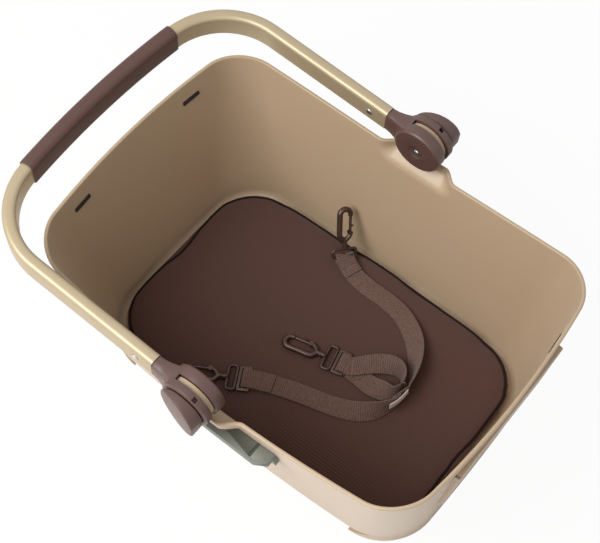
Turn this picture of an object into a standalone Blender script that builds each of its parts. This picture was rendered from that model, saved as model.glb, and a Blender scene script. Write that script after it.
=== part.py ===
"""Dog bicycle basket: a moulded tub with a fold-over handle, a floor cushion and a three-hook lead.

Metres, +Z up. +X is the end with the raised pad and -Y the side with the bracket.
The origin is the centre of the floor's underside; the two end runners stand below it.
"""

import math

import bmesh
import bpy
from mathutils import Matrix, Vector

# Clearances
SEAT_GAP = 0.0003
RUN_GAP = 0.0003
CUT_OVERRUN = 0.004

# Tub, outside sizes
TUB_LENGTH = 0.450
TUB_WIDTH = 0.313
TUB_CORNER = 0.038
TUB_END_BOW = 0.0127
TUB_SIDE_BOW = 0.0097
RIM_Z = 0.199
RIM_DIP = 0.0236
RIM_DIP_POWER_SHARE = 1.617
BASE_LENGTH = 0.3994
BASE_WIDTH = 0.2600
BASE_CORNER = 0.0520
BASE_END_BOW = 0.0038
BASE_SIDE_BOW = 0.0094
WALL = 0.0035
FLOOR_FILLET = 0.0110
RIM_ROUND = 0.0010

# Sections of the tub, as shares of the wall's height and of the outline's straight runs
WALL_SHARES = (0.45, 0.876, 0.905, 0.935, 0.964, 1.0)
END_SHARES = (-0.55, 0.0, 0.55)
GAP_SHARES = (0.35, 0.7)
POCKET_SHARES = (0.5, 1.0)
FADE_SHARES = (0.3, 0.65, 1.0)
CORNER_STEPS = 5
FILLET_STEPS = 2

# Runners under the two ends
RUNNER_DROP = 0.008
RUNNER_TOP = 0.010
RUNNER_FOOT_INSET = 0.0015
RUNNER_INNER_FOOT = 0.140
RUNNER_INNER_TOP = 0.152

# Raised pad on the outside of the +X end
PAD_WIDTH = 0.156
PAD_LOW = 0.084
PAD_HIGH = 0.181
PAD_PROUD = 0.0015
PAD_BACK = 0.010
PAD_CORNER = 0.006

# Slots near the top of both end walls
SLOT_Y = 0.077
SLOT_Z = 0.177
SLOT_LENGTH = 0.020
SLOT_HEIGHT = 0.0036
SLOT_CORNER = 0.0012
SLOT_DEPTH = 0.030

# Hinge line, the wall's pocket round it and the ear that stands in the pocket
HINGE_X = 0.004
HINGE_Z = 0.197
POCKET_Y = 0.1675
POCKET_HALF = 0.0265
POCKET_FADE = 0.0185
POCKET_DROP = 0.0275
POCKET_FADE_Z = 0.0145
EAR_RADIUS = 0.024
EAR_INNER_Y = 0.1635
EAR_OUTER_Y = 0.1680
EAR_FOOT_DROP = 0.030
EAR_FOOT_ANGLE = math.radians(50)
GROOVE_DEPTH = 0.0018

# Handle: tube section, arms, corner bends and the slightly arched cross-bar, in the handle's own frame
HANDLE_TILT = math.radians(5.1)
ARM_Y = 0.1645
TUBE_THICK = 0.013
TUBE_HIGH = 0.027
TUBE_CORNER = 0.0046
TUBE_WALL = 0.0015
TUBE_START = 0.042
SOCKET_DEPTH = 0.045
CROSSBAR_REACH = 0.263
CROSSBAR_ARCH = 0.95
BEND_RADIUS = 0.073
BEND_STEPS = 8
CROSSBAR_STEPS = 8
GRIP_WALL = 0.0013

# Hinge fork: one thick disc that a slot splits in two, a stem and a tang
FORK_RADIUS = 0.0255
FORK_INNER_Y = 0.1510
FORK_OUTER_Y = 0.1771
FORK_EDGE = 0.0016
SLOT_INNER_Y = 0.1627
SLOT_OUTER_Y = 0.1688
SLOT_RADIUS = 0.0248
SLOT_BACK = 0.016
STEM_STATION_SHARES = (0.30, 0.52, 0.68, 0.84, 1.0)
STEM_SPREAD_SHARES = (1.0, 0.62, 0.3, 0.08, 0.0)
STEM_EXTRA_THICK = 0.011
STEM_EXTRA_HIGH = 0.012
TANG_LENGTH = 0.033
RECESS_RADIUS = 0.0085
RECESS_DEPTH = 0.0008
PEEP_SIZE = 0.0045
PEEP_DEPTH = 0.006
PEEP_Y = 0.1735
PEEP_ANGLE = math.radians(66)

# Pivot: bolt, nut and bush
BOLT_RADIUS = 0.0030
BOLT_HEAD_RADIUS = 0.0058
BOLT_HEAD_HIGH = 0.0030
BOLT_KEY_RADIUS = 0.0023
BOLT_KEY_DEPTH = 0.0018
BUSH_WALL = 0.0019
NUT_ACROSS = 0.010
NUT_HIGH = 0.0050

# Release lever, its pin and spring, and the lock plunger that it draws
LEVER_RADIUS = 0.0232
LEVER_SLIT = 0.0006
LEVER_THICK_Y = 0.1920
LEVER_THIN_Y = 0.1812
LEVER_CUT_X = 0.0220
LEVER_OPEN = math.radians(6)
LEVER_EDGE = 0.0010
PIN_X = -0.011
PIN_Y = 0.1738
PIN_RADIUS = 0.0015
PIN_HALF = 0.011
LUG_HALF_LENGTH = 0.0030
LUG_HALF_WIDTH = 0.0060
LUG_SIDE_GAP = 0.0008
SPRING_X = -0.0195
SPRING_DEPTH = 0.0063
SPRING_RADIUS = 0.0017
SPRING_WIRE = 0.00025
SPRING_TURNS = 4
SPRING_TURN_POINTS = 8
PLUNGER_X = 0.017
PLUNGER_RADIUS = 0.0030
PLUNGER_BITE = 0.0014
PLUNGER_NECK_RADIUS = 0.0015
PLUNGER_HEAD_RADIUS = 0.0030
PLUNGER_HEAD_HIGH = 0.0012
PLUNGER_SWING_ROOM = 0.0012
NECK_GAP = 0.0008
LEVER_FLOOR = 0.0018

# Rivets that hold the tube on the tangs
ARM_RIVET_X = -0.061
RIVET_RADIUS = 0.0020
RIVET_HEAD_RADIUS = 0.0036
RIVET_HEAD_HIGH = 0.0012
RIVET_DOME_SHARES = ((1.0, 0.0), (0.8, 0.65), (0.0, 1.0))

# Side bracket on the outside of the near wall
BRACKET_START_X = -0.020
BRACKET_BLOCK_X = 0.062
BRACKET_END_X = 0.081
BRACKET_TOP_Z = 0.152
BRACKET_LIP_HIGH = 0.009
BRACKET_FLANGE_HIGH = 0.024
BRACKET_OUTER_Y = 0.168
BRACKET_BACK_Y = 0.140
BRACKET_SHEET = 0.0025
BRACKET_FLANGE_SHEET = 0.0032
BRACKET_CHAMFER_X = 0.012
BRACKET_CHAMFER_Y = 0.007
BRACKET_STEP = 0.0010
BRACKET_STEP_WIDTH = 0.0030
BRACKET_RIVET_DROP = 0.0125
BRACKET_RIVET_X = (0.000, 0.052)

# Cushion
CUSHION_END_GAP = 0.0027
CUSHION_SIDE_GAP = 0.0030
CUSHION_CORNER = 0.050
CUSHION_EDGE_Z = 0.018
CUSHION_CROWN = 0.005
CUSHION_DRAW = 0.0070
CUSHION_SIDE_SHARES = ((1.0, 0.0), (0.45, 0.12), (0.1, 0.32), (0.0, 0.55), (0.12, 0.8), (0.45, 0.95))
CUSHION_CROWN_SHARES = (0.93, 0.8, 0.6, 0.3)
CUSHION_MARK_SHARES = (-0.24, -0.12, 0.0, 0.12, 0.24)

# Lead: webbing, hooks and the small fittings on it
WEB_WIDTH = 0.020
WEB_THICK = 0.0016
HOOK_WIRE = 0.0021
EYE_WIRE = 0.0015
EYE_WIDTH = 0.026
EYE_DEPTH = 0.009
BARREL_RADIUS = 0.0030
BARREL_LENGTH = 0.010
LOOP_LENGTH = 0.037
LOOP_HALF = 0.0059
LOOP_NOSE_SHARE = 0.72
LOOP_ROOT_SHARE = 0.20
LOOP_SHOULDER_SHARES = ((0.4, 0.72), (0.75, 1.0))
BARREL_TAPER_SHARE = 0.8
EYE_CORNER_SHARE = 0.33
GATE_WIRE = 0.0014
GATE_GAP = 0.0008
SLIDER_WIDTH = 0.027
SLIDER_LENGTH = 0.013
SLIDER_THICK = 0.0024
SLIDER_RAIL = 0.0028
TAG_HIGH = 0.0105
TAG_THICK = 0.0008
LOOP_BAR_WIRE = 0.0010
LOOP_BAR_LENGTH = 0.0068

# Routes of the three straps: x, y, z of the middle of the webbing, and its lean from flat in degrees
STRAP_A_ROUTE = (
    (-0.0349, 0.0948, 0.0233, 0), (-0.0290, 0.0920, 0.0227, 0), (-0.0180, 0.0880, 0.0223, 0),
    (-0.0060, 0.0858, 0.0221, 0), (0.0080, 0.0848, 0.0221, 0), (0.0220, 0.0848, 0.0221, 0),
    (0.0360, 0.0838, 0.0222, 0), (0.0500, 0.0806, 0.0227, 3), (0.0620, 0.0752, 0.0237, 8),
    (0.0730, 0.0682, 0.0251, 16), (0.0825, 0.0594, 0.0271, 28), (0.0905, 0.0494, 0.0293, 42),
    (0.0970, 0.0394, 0.0311, 56), (0.1018, 0.0300, 0.0323, 70), (0.1048, 0.0218, 0.0329, 80),
    (0.1056, 0.0170, 0.0331, 84),
)
STRAP_B_ROUTE = (
    (0.0421, 0.0008, 0.0270, 0), (0.0460, 0.0018, 0.0270, 0), (0.0505, 0.0058, 0.0272, 0),
    (0.0550, 0.0108, 0.0276, 3), (0.0612, 0.0164, 0.0284, 9), (0.0685, 0.0220, 0.0294, 20),
    (0.0770, 0.0262, 0.0310, 36), (0.0858, 0.0276, 0.0328, 56), (0.0932, 0.0250, 0.0342, 74),
    (0.0984, 0.0194, 0.0347, 86), (0.1007, 0.0120, 0.0347, 94), (0.0995, 0.0045, 0.0345, 104),
    (0.0947, 0.0008, 0.0335, 124), (0.0866, -0.0012, 0.0306, 148), (0.0762, -0.0024, 0.0270, 168),
    (0.0660, -0.0019, 0.0248, 178), (0.0570, -0.0011, 0.0245, 180), (0.0505, -0.0008, 0.0245, 180),
    (0.0470, -0.0006, 0.0245, 180),
)
STRAP_C_ROUTE = (
    (-0.0243, -0.0706, 0.0230, 0), (-0.0190, -0.0678, 0.0230, 0), (-0.0060, -0.0622, 0.0233, 0),
    (0.0080, -0.0570, 0.0236, 0), (0.0220, -0.0524, 0.0238, 0), (0.0360, -0.0484, 0.0239, 0),
    (0.0500, -0.0446, 0.0241, 3), (0.0640, -0.0402, 0.0248, 9), (0.0770, -0.0346, 0.0262, 20),
    (0.0878, -0.0278, 0.0286, 38), (0.0960, -0.0200, 0.0310, 58), (0.1018, -0.0118, 0.0326, 76),
    (0.1052, -0.0040, 0.0332, 86), (0.1064, 0.0030, 0.0334, 90),
)
TAG_ROUTE = (
    (0.1044, -0.0122, 0.0360), (0.1070, -0.0048, 0.0360), (0.1083, 0.0030, 0.0360), (0.1086, 0.0120, 0.0360),
)

# Where the fittings lie: middle of the eye's bar, the way the tip points and the way the bar runs
HOOK_PLACES = (
    ((-0.0380, 0.0962, 0.0266), (-0.35, 0.48, 0.805), (0.42, 0.91, 0.0)),
    ((0.0267, -0.0031, 0.0265), (-0.970, -0.242, 0.0), (-0.242, 0.970, 0.0)),
    ((-0.0378, -0.0785, 0.0242), (-0.866, -0.5, 0.0), (-0.5, 0.866, 0.0)),
)
SLIDER_PLACE = ((0.0350, -0.0010, 0.0257), (-0.970, -0.242, 0.0), (-0.242, 0.970, 0.0))
ADJUSTER_PLACE = ((-0.0305, -0.0742, 0.0240), (-0.866, -0.5, 0.0), (-0.5, 0.866, 0.0))
LOOP_BAR_PLACE = ((0.1012, 0.0128, 0.0347), (0.974, 0.225, 0.0), (0.0, 0.0, 1.0))

ROUND_STEPS = 16
SMALL_STEPS = 12
DISC_STEPS = 36

# Edges sharper than these angles are rounded or shaded as an edge
SHARP_ANGLE = math.radians(35)
ROUND_ANGLE = math.radians(50)
RIM_ANGLE = math.radians(60)
LEVER_ANGLE = math.radians(40)

for old in list(bpy.data.objects):
    bpy.data.objects.remove(old)

parts = bpy.data.collections.new("dog_bicycle_basket")
cutters = bpy.data.collections.new("cutters")
bpy.context.scene.collection.children.link(parts)
bpy.context.scene.collection.children.link(cutters)


def finish(name, hex_colour, roughness, metallic=0.0):
    """A Principled material of one colour."""
    material = bpy.data.materials.new(name)
    material.use_nodes = True
    shader = material.node_tree.nodes["Principled BSDF"]
    srgb = [int(hex_colour[i:i + 2], 16) / 255 for i in (0, 2, 4)]
    linear = [c / 12.92 if c <= 0.04045 else ((c + 0.055) / 1.055) ** 2.4 for c in srgb]
    shader.inputs["Base Color"].default_value = (*linear, 1)
    shader.inputs["Roughness"].default_value = roughness
    shader.inputs["Metallic"].default_value = metallic
    return material


BEIGE_SHELL = ("beige polypropylene", "C3AB8E", 0.45)
BROWN_SHELL = ("brown moulded nylon", "6E5450", 0.42)
GREY_SHELL = ("grey green moulded nylon", "5F625A", 0.45)
CHAMPAGNE = ("champagne anodised aluminium", "C9B891", 0.35, 0.8)
BROWN_RUBBER = ("brown rubber grip", "573A32", 0.7)
BROWN_FABRIC = ("brown ribbed fabric", "5A3E37", 0.95)
BROWN_WEB = ("brown polyester webbing", "7A625A", 0.9)
BRONZE = ("bronze plated zinc", "6B5A50", 0.35, 0.8)
STEEL = ("zinc plated steel", "C8C8CC", 0.3, 1.0)
ACETAL = ("white acetal", "E6E2DA", 0.4)
TAG_FABRIC = ("pale woven tape", "D7C8C8", 0.9)


def add(name, mesh, look=None, parent=None):
    """Puts a mesh or curve in the scene: a part if it has a look, otherwise a cutter."""
    made = bpy.data.objects.new(name, mesh)
    if look:
        parts.objects.link(made)
        mesh.materials.clear()
        mesh.materials.append(finish(name + " " + look[0], *look[1:]))
    else:
        cutters.objects.link(made)
        made.hide_render = True
        made.display_type = "WIRE"
    made.parent = parent
    return made


def empty(name, place, parent=None, turn=(0.0, 0.0, 0.0)):
    made = bpy.data.objects.new(name, None)
    parts.objects.link(made)
    made.location = place
    made.rotation_euler = turn
    made.parent = parent
    return made


def smooth(made, angle=SHARP_ANGLE):
    made.data.shade_smooth()
    made.data.set_sharp_from_angle(angle=angle)
    return made


def baked(made, weld=0.00001):
    """The object's evaluated mesh as new data, its loose caps welded on."""
    bpy.context.view_layer.update()
    result = bpy.data.meshes.new_from_object(made.evaluated_get(bpy.context.evaluated_depsgraph_get()))
    shape = bmesh.new()
    shape.from_mesh(result)
    bmesh.ops.remove_doubles(shape, verts=shape.verts, dist=weld)
    shape.to_mesh(result)
    shape.free()
    return result


def boolean(made, other, operation):
    step = made.modifiers.new(operation.lower() + " " + other.name, "BOOLEAN")
    step.operation = operation
    step.object = other
    step.solver = "EXACT"


def cut(made, *others):
    for other in others:
        boolean(made, other, "DIFFERENCE")
    return made


def join(made, *others):
    for other in others:
        boolean(made, other, "UNION")
    return made


def loft(name, rings, look=None, parent=None, bottom=True, top=True):
    """Skin over rings of equal count, each anticlockwise seen from where they lead to, with two ends."""
    shape = bmesh.new()
    levels = [[shape.verts.new(point) for point in ring] for ring in rings]
    for low, high in zip(levels, levels[1:]):
        for i in range(len(low)):
            j = (i + 1) % len(low)
            shape.faces.new((low[i], low[j], high[j], high[i]))
    if bottom:
        shape.faces.new(levels[0][::-1])
    if top:
        shape.faces.new(levels[-1])
    mesh = bpy.data.meshes.new(name)
    shape.to_mesh(mesh)
    shape.free()
    return add(name, mesh, look, parent)


def prism(name, outline, axis, low, high, look=None, parent=None):
    """A flat outline (x and z for axis Y, y and z for X, x and y for Z) between two places on the axis."""
    curve = bpy.data.curves.new(name, "CURVE")
    curve.dimensions = "2D"
    curve.fill_mode = "BOTH"
    curve.extrude = abs(high - low) / 2
    curve.resolution_u = 1
    spline = curve.splines.new("POLY")
    spline.points.add(len(outline) - 1)
    for point, (u, v) in zip(spline.points, outline):
        point.co = (u, v, 0, 1)
    spline.use_cyclic_u = True
    flat = bpy.data.objects.new(name + "_outline", curve)
    cutters.objects.link(flat)
    mesh = baked(flat)
    bpy.data.objects.remove(flat)
    middle = (low + high) / 2
    if axis == "Y":
        turn = Matrix.Translation((0, middle, 0)) @ Matrix.Rotation(math.pi / 2, 4, "X")
    elif axis == "X":
        turn = Matrix.Translation((middle, 0, 0)) @ Matrix.Rotation(math.pi / 2, 4, "Z")
        turn = turn @ Matrix.Rotation(math.pi / 2, 4, "X")
    else:
        turn = Matrix.Translation((0, 0, middle))
    mesh.transform(turn)
    mesh.name = name
    return add(name, mesh, look, parent)


def rod(name, radius, low, high, x=0.0, z=0.0, steps=ROUND_STEPS, look=None, parent=None, edge=0.0):
    """A cylinder along Y between two values of y; edge rounds its two rims."""
    shape = bmesh.new()
    bmesh.ops.create_cone(shape, cap_ends=True, segments=steps,
                          radius1=radius, radius2=radius, depth=high - low)
    mesh = bpy.data.meshes.new(name)
    shape.to_mesh(mesh)
    shape.free()
    mesh.transform(Matrix.Translation((x, (low + high) / 2, z)) @ Matrix.Rotation(math.pi / 2, 4, "X"))
    made = add(name, mesh, look, parent)
    if edge:
        round_edges(made, edge)
    return made


def box(name, low, high, look=None, parent=None):
    shape = bmesh.new()
    bmesh.ops.create_cube(shape, size=1.0)
    mesh = bpy.data.meshes.new(name)
    shape.to_mesh(mesh)
    shape.free()
    size = [b - a for a, b in zip(low, high)]
    middle = [(a + b) / 2 for a, b in zip(low, high)]
    mesh.transform(Matrix.Translation(middle) @ Matrix.Diagonal((*size, 1)))
    return add(name, mesh, look, parent)


def turned(name, profile, place=Matrix(), look=None, parent=None, steps=ROUND_STEPS, closed=False):
    """A profile of (radius, height), down its outer side, turned about Z and then put in its place."""
    shape = bmesh.new()
    points = [shape.verts.new((radius, 0, height)) for radius, height in profile]
    for a, b in zip(points, points[1:]):
        shape.edges.new((a, b))
    if closed:
        shape.edges.new((points[-1], points[0]))
    outline = bpy.data.meshes.new(name)
    shape.to_mesh(outline)
    shape.free()
    flat = bpy.data.objects.new(name + "_profile", outline)
    cutters.objects.link(flat)
    screw = flat.modifiers.new("turn", "SCREW")
    screw.steps = steps
    screw.render_steps = steps
    screw.use_merge_vertices = True
    screw.merge_threshold = 0.00001
    mesh = baked(flat)
    bpy.data.objects.remove(flat)
    mesh.transform(place)
    mesh.name = name
    return add(name, mesh, look, parent)


def round_edges(made, width, steps=1, angle=ROUND_ANGLE):
    bevel = made.modifiers.new("round edges", "BEVEL")
    bevel.width = width
    bevel.segments = steps
    bevel.limit_method = "ANGLE"
    bevel.angle_limit = angle
    return made


def solid(made, look, parent=None):
    """A curve or modified object turned into a plain mesh under its own name, in place."""
    name = made.name
    mesh = baked(made)
    mesh.transform(made.matrix_world if made.parent is None else made.matrix_local)
    bpy.data.objects.remove(made)
    mesh.name = name
    return add(name, mesh, look, parent)


def mirrored(made, name, look, parent=None):
    """The piece for the other long side: the same shape on the far side of the middle plane."""
    mesh = baked(made)
    mesh.transform(Matrix.Diagonal((1, -1, 1, 1)))
    mesh.flip_normals()
    mesh.name = name
    twin = add(name, mesh, look, parent)
    twin.location = (made.location.x, -made.location.y, made.location.z)
    return twin


def tube_curve(name, points, radius, tilts=None, extrude=0.0, closed=False, resolution=1):
    """A bevelled POLY curve: a round wire, or flat webbing if it has an extrude."""
    curve = bpy.data.curves.new(name, "CURVE")
    curve.dimensions = "3D"
    curve.twist_mode = "Z_UP"
    curve.bevel_depth = radius
    curve.bevel_resolution = resolution
    curve.extrude = extrude
    curve.use_fill_caps = True
    curve.resolution_u = 1
    spline = curve.splines.new("POLY")
    spline.points.add(len(points) - 1)
    for i, place in enumerate(points):
        spline.points[i].co = (*place, 1)
        if tilts:
            spline.points[i].tilt = tilts[i]
    spline.use_cyclic_u = closed
    made = bpy.data.objects.new(name, curve)
    cutters.objects.link(made)
    return made


def rounded_rectangle(width, height, corner, steps=2):
    points = []
    for sx, sy, start in ((1, 1, 0), (-1, 1, 1), (-1, -1, 2), (1, -1, 3)):
        for i in range(steps + 1):
            a = (start + i / steps) * math.pi / 2
            points.append((
                sx * (width / 2 - corner) + corner * math.cos(a),
                sy * (height / 2 - corner) + corner * math.sin(a),
            ))
    return points


def arc(radius, start, end, steps, centre=(0.0, 0.0)):
    turns = [start + (end - start) * i / steps for i in range(steps + 1)]
    return [(centre[0] + radius * math.cos(a), centre[1] + radius * math.sin(a)) for a in turns]


def lerp(a, b, share):
    return a + (b - a) * share


def along_y(x, z):
    """Puts a turned piece's axis along Y, its top towards +Y."""
    return Matrix.Translation((x, 0, z)) @ Matrix.Rotation(-math.pi / 2, 4, "X")


def frame_at(place):
    """A fitting's matrix: its tip points down its own -X and its bar runs along its own Y."""
    origin, tip, bar = (Vector(v) for v in place)
    x_axis = -tip.normalized()
    y_axis = (bar - x_axis * bar.dot(x_axis)).normalized()
    z_axis = x_axis.cross(y_axis)
    turn = Matrix((x_axis, y_axis, z_axis)).transposed().to_4x4()
    return Matrix.Translation(origin) @ turn


def sweep(name, path, section, look=None, parent=None, capped=True):
    """A section of (inwards, up) points carried along a level path of (x, y), mitred at its corners."""
    places = [Vector(point) for point in path]
    rings = []
    for i, here in enumerate(places):
        come = (here - places[max(i - 1, 0)]).normalized()
        go = (places[min(i + 1, len(places) - 1)] - here).normalized()
        way = (come + go).normalized()
        stretch = 1 / max(way.dot(come), way.dot(go))
        rings.append([(here.x - way.y * u * stretch, here.y + way.x * u * stretch, v) for u, v in section])
    return loft(name, rings, look, parent, capped, capped)


# The tub's outline and walls

def plan(length, width, corner, end_bow, side_bow, marks):
    """A rounded rectangle with bowed sides, anticlockwise; each long side has a point at every mark."""
    half_l = length / 2 - end_bow
    half_w = width / 2 - side_bow
    flat_l = half_l - corner
    flat_w = half_w - corner
    side = [lerp(-flat_l, marks[0], share) for share in GAP_SHARES]
    side += marks
    side += [lerp(flat_l, marks[-1], share) for share in reversed(GAP_SHARES)]
    end = [flat_w * share for share in END_SHARES]
    rounds = [(corner * math.cos(a), corner * math.sin(a))
              for a in (math.pi / 2 * i / CORNER_STEPS for i in range(CORNER_STEPS + 1))]
    points = [(half_l, y) for y in end]
    points += [(flat_l + c, flat_w + s) for c, s in rounds]
    points += [(x, half_w) for x in reversed(side)]
    points += [(-flat_l - s, flat_w + c) for c, s in rounds]
    points += [(-half_l, -y) for y in end]
    points += [(-flat_l - c, -flat_w - s) for c, s in rounds]
    points += [(x, -half_w) for x in side]
    points += [(flat_l + s, -flat_w - c) for c, s in rounds]
    return [
        (x + math.copysign(end_bow * (1 - (y / half_w) ** 2), x),
         y + math.copysign(side_bow * (1 - (x / half_l) ** 2), y))
        for x, y in points
    ]


def rim_z(x):
    return RIM_Z - RIM_DIP * max(0.0, 1 - abs(2 * x / TUB_LENGTH) ** RIM_DIP_POWER_SHARE)


def pocket(x, y, z, grow):
    """Moves a wall point outwards to the pocket's flat face near the hinge."""
    across = max(abs(x - HINGE_X) - POCKET_HALF, 0) / POCKET_FADE
    down = max(HINGE_Z - z - POCKET_DROP, 0) / POCKET_FADE_Z
    reach = min(math.hypot(across, down), 1)
    share = 1 - reach * reach * (3 - 2 * reach)
    return math.copysign(lerp(abs(y), POCKET_Y + grow, share), y)


def hinge_marks():
    offsets = [POCKET_HALF * share for share in POCKET_SHARES]
    offsets += [POCKET_HALF + POCKET_FADE * share for share in FADE_SHARES]
    return [HINGE_X - d for d in reversed(offsets)] + [HINGE_X] + [HINGE_X + d for d in offsets]


def tub_rings(grow):
    """Rings of the tub's outside from its floor to its rim, moved outwards by grow."""
    marks = hinge_marks()
    rings = []
    for i in range(FILLET_STEPS + 1):
        a = math.pi / 2 * i / FILLET_STEPS
        inset = FLOOR_FILLET - (FLOOR_FILLET + grow) * math.sin(a)
        z = FLOOR_FILLET - (FLOOR_FILLET + grow) * math.cos(a)
        outline = plan(BASE_LENGTH - 2 * inset, BASE_WIDTH - 2 * inset, BASE_CORNER - inset,
                       BASE_END_BOW, BASE_SIDE_BOW, marks)
        rings.append([(x, y, z) for x, y in outline])
    for share in WALL_SHARES:
        outline = plan(
            lerp(BASE_LENGTH, TUB_LENGTH, share) + 2 * grow,
            lerp(BASE_WIDTH, TUB_WIDTH, share) + 2 * grow,
            lerp(BASE_CORNER, TUB_CORNER, share) + grow,
            lerp(BASE_END_BOW, TUB_END_BOW, share),
            lerp(BASE_SIDE_BOW, TUB_SIDE_BOW, share),
            marks,
        )
        ring = []
        for x, y in outline:
            z = lerp(FLOOR_FILLET, rim_z(x), share)
            ring.append((x, pocket(x, y, z, grow), z))
        rings.append(ring)
    return rings


def side_wall_y(x, z):
    """Half-width of the tub's outside at a place on its long side, away from the pocket."""
    share = (z - FLOOR_FILLET) / (rim_z(x) - FLOOR_FILLET)
    half_l = lerp(BASE_LENGTH / 2 - BASE_END_BOW, TUB_LENGTH / 2 - TUB_END_BOW, share)
    bow = lerp(BASE_SIDE_BOW, TUB_SIDE_BOW, share)
    return lerp(BASE_WIDTH, TUB_WIDTH, share) / 2 - bow * (x / half_l) ** 2


SIDE_LEAN = math.atan((TUB_WIDTH - BASE_WIDTH) / 2 / (RIM_Z - RIM_DIP - FLOOR_FILLET))
END_LEAN = math.atan((TUB_LENGTH - BASE_LENGTH) / 2 / (RIM_Z - FLOOR_FILLET))
BUSH_INNER = BOLT_RADIUS + RUN_GAP
BUSH_OUTER = BUSH_INNER + BUSH_WALL


def make_tub():
    shell = loft("tub_shell", tub_rings(0.0), BEIGE_SHELL, top=False)
    wall = shell.modifiers.new("wall", "SOLIDIFY")
    wall.thickness = WALL
    wall.offset = -1
    wall.use_even_offset = True
    round_edges(shell, RIM_ROUND, steps=2, angle=RIM_ANGLE)

    core = loft("wall_core", tub_rings(-WALL / 2))
    foot = 2 * RUNNER_FOOT_INSET
    runners = loft("runners", [
        [(x, y, -RUNNER_DROP) for x, y in plan(BASE_LENGTH - foot, BASE_WIDTH - foot,
                                               BASE_CORNER - RUNNER_FOOT_INSET, BASE_END_BOW,
                                               BASE_SIDE_BOW, hinge_marks())],
        [(x, y, RUNNER_TOP) for x, y in plan(BASE_LENGTH - SEAT_GAP, BASE_WIDTH - SEAT_GAP, BASE_CORNER,
                                             BASE_END_BOW, BASE_SIDE_BOW, hinge_marks())],
    ])
    slant = (RUNNER_INNER_TOP - RUNNER_INNER_FOOT) / RUNNER_DROP
    low = -RUNNER_DROP - CUT_OVERRUN
    high = RUNNER_TOP + CUT_OVERRUN
    low_x = RUNNER_INNER_TOP + slant * low
    high_x = RUNNER_INNER_TOP + slant * high
    between = prism("between_runners", [(-low_x, low), (low_x, low), (high_x, high), (-high_x, high)],
                    "Y", -BASE_WIDTH, BASE_WIDTH)
    cut(runners, between, core)

    middle_z = (PAD_LOW + PAD_HIGH) / 2
    pad_height = (PAD_HIGH - PAD_LOW) / math.cos(END_LEAN)
    pad = prism("end_pad", rounded_rectangle(PAD_WIDTH, pad_height, PAD_CORNER), "X", -PAD_BACK, PAD_PROUD)
    share = (middle_z - FLOOR_FILLET) / (RIM_Z - FLOOR_FILLET)
    pad.data.transform(Matrix.Translation((lerp(BASE_LENGTH, TUB_LENGTH, share) / 2, 0, middle_z))
                       @ Matrix.Rotation(END_LEAN, 4, "Y"))
    round_edges(pad, RIM_ROUND)
    cut(pad, core)
    join(shell, runners, pad)

    foot_x = EAR_RADIUS * math.cos(EAR_FOOT_ANGLE)
    ear_outline = arc(EAR_RADIUS, -EAR_FOOT_ANGLE, math.pi + EAR_FOOT_ANGLE, ROUND_STEPS)
    ear_outline += [(-foot_x, -EAR_FOOT_DROP), (foot_x, -EAR_FOOT_DROP)]
    ear_outline = [(HINGE_X + x, HINGE_Z + z) for x, z in ear_outline]
    groove_radius = PLUNGER_RADIUS + RUN_GAP
    start = -HANDLE_TILT
    end = -math.pi + HANDLE_TILT
    start_at = (PLUNGER_X * math.cos(start), PLUNGER_X * math.sin(start))
    end_at = (PLUNGER_X * math.cos(end), PLUNGER_X * math.sin(end))
    groove = arc(PLUNGER_X + groove_radius, end, start, SMALL_STEPS)
    groove += arc(groove_radius, start, start + math.pi, SMALL_STEPS // 2, start_at)[1:-1]
    groove += arc(PLUNGER_X - groove_radius, start, end, SMALL_STEPS)
    groove += arc(groove_radius, end + math.pi, end + 2 * math.pi, SMALL_STEPS // 2, end_at)[1:-1]
    groove = [(HINGE_X + x, HINGE_Z + z) for x, z in groove]
    for side in (1, -1):
        join(shell, prism("ear", ear_outline, "Y", side * EAR_INNER_Y, side * EAR_OUTER_Y))
    for side in (1, -1):
        cut(shell, prism("lock_groove", groove, "Y", side * (EAR_OUTER_Y - GROOVE_DEPTH),
                         side * (EAR_OUTER_Y + CUT_OVERRUN)))
    bore = BUSH_OUTER + SEAT_GAP
    bore_low = EAR_INNER_Y - CUT_OVERRUN
    bore_high = EAR_OUTER_Y + CUT_OVERRUN
    cut(shell, rod("bush_bore_far", bore, bore_low, bore_high, HINGE_X, HINGE_Z),
        rod("bush_bore_near", bore, -bore_high, -bore_low, HINGE_X, HINGE_Z))

    slot_share = (SLOT_Z - FLOOR_FILLET) / (RIM_Z - FLOOR_FILLET)
    slot_x = lerp(BASE_LENGTH, TUB_LENGTH, slot_share) / 2
    slot = rounded_rectangle(SLOT_LENGTH, SLOT_HEIGHT, SLOT_CORNER)
    for end_sign in (1, -1):
        for side in (1, -1):
            outline = [(side * SLOT_Y + y, SLOT_Z + z) for y, z in slot]
            cut(shell, prism("end_slot", outline, "X", end_sign * (slot_x - SLOT_DEPTH / 2),
                             end_sign * (slot_x + SLOT_DEPTH / 2)))
    return shell


def make_cushion():
    length = BASE_LENGTH - 2 * (WALL + CUSHION_END_GAP)
    width = BASE_WIDTH - 2 * (WALL + CUSHION_SIDE_GAP)
    marks = [length * share for share in CUSHION_MARK_SHARES]
    low = WALL + SEAT_GAP
    rings = []
    for draw, rise in CUSHION_SIDE_SHARES:
        inset = CUSHION_DRAW * draw
        rings.append([(x, y, lerp(low, CUSHION_EDGE_Z, rise)) for x, y in plan(
            length - 2 * inset, width - 2 * inset, CUSHION_CORNER - inset,
            BASE_END_BOW, BASE_SIDE_BOW, marks)])
    for size in CUSHION_CROWN_SHARES:
        z = CUSHION_EDGE_Z + CUSHION_CROWN * (1 - size * size)
        rings.append([(x * size, y * size, z) for x, y in plan(
            length, width, CUSHION_CORNER, BASE_END_BOW, BASE_SIDE_BOW, marks)])
    return smooth(loft("cushion", rings, BROWN_FABRIC))


# The handle, in its own frame: the hinge line is its Y axis

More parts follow.
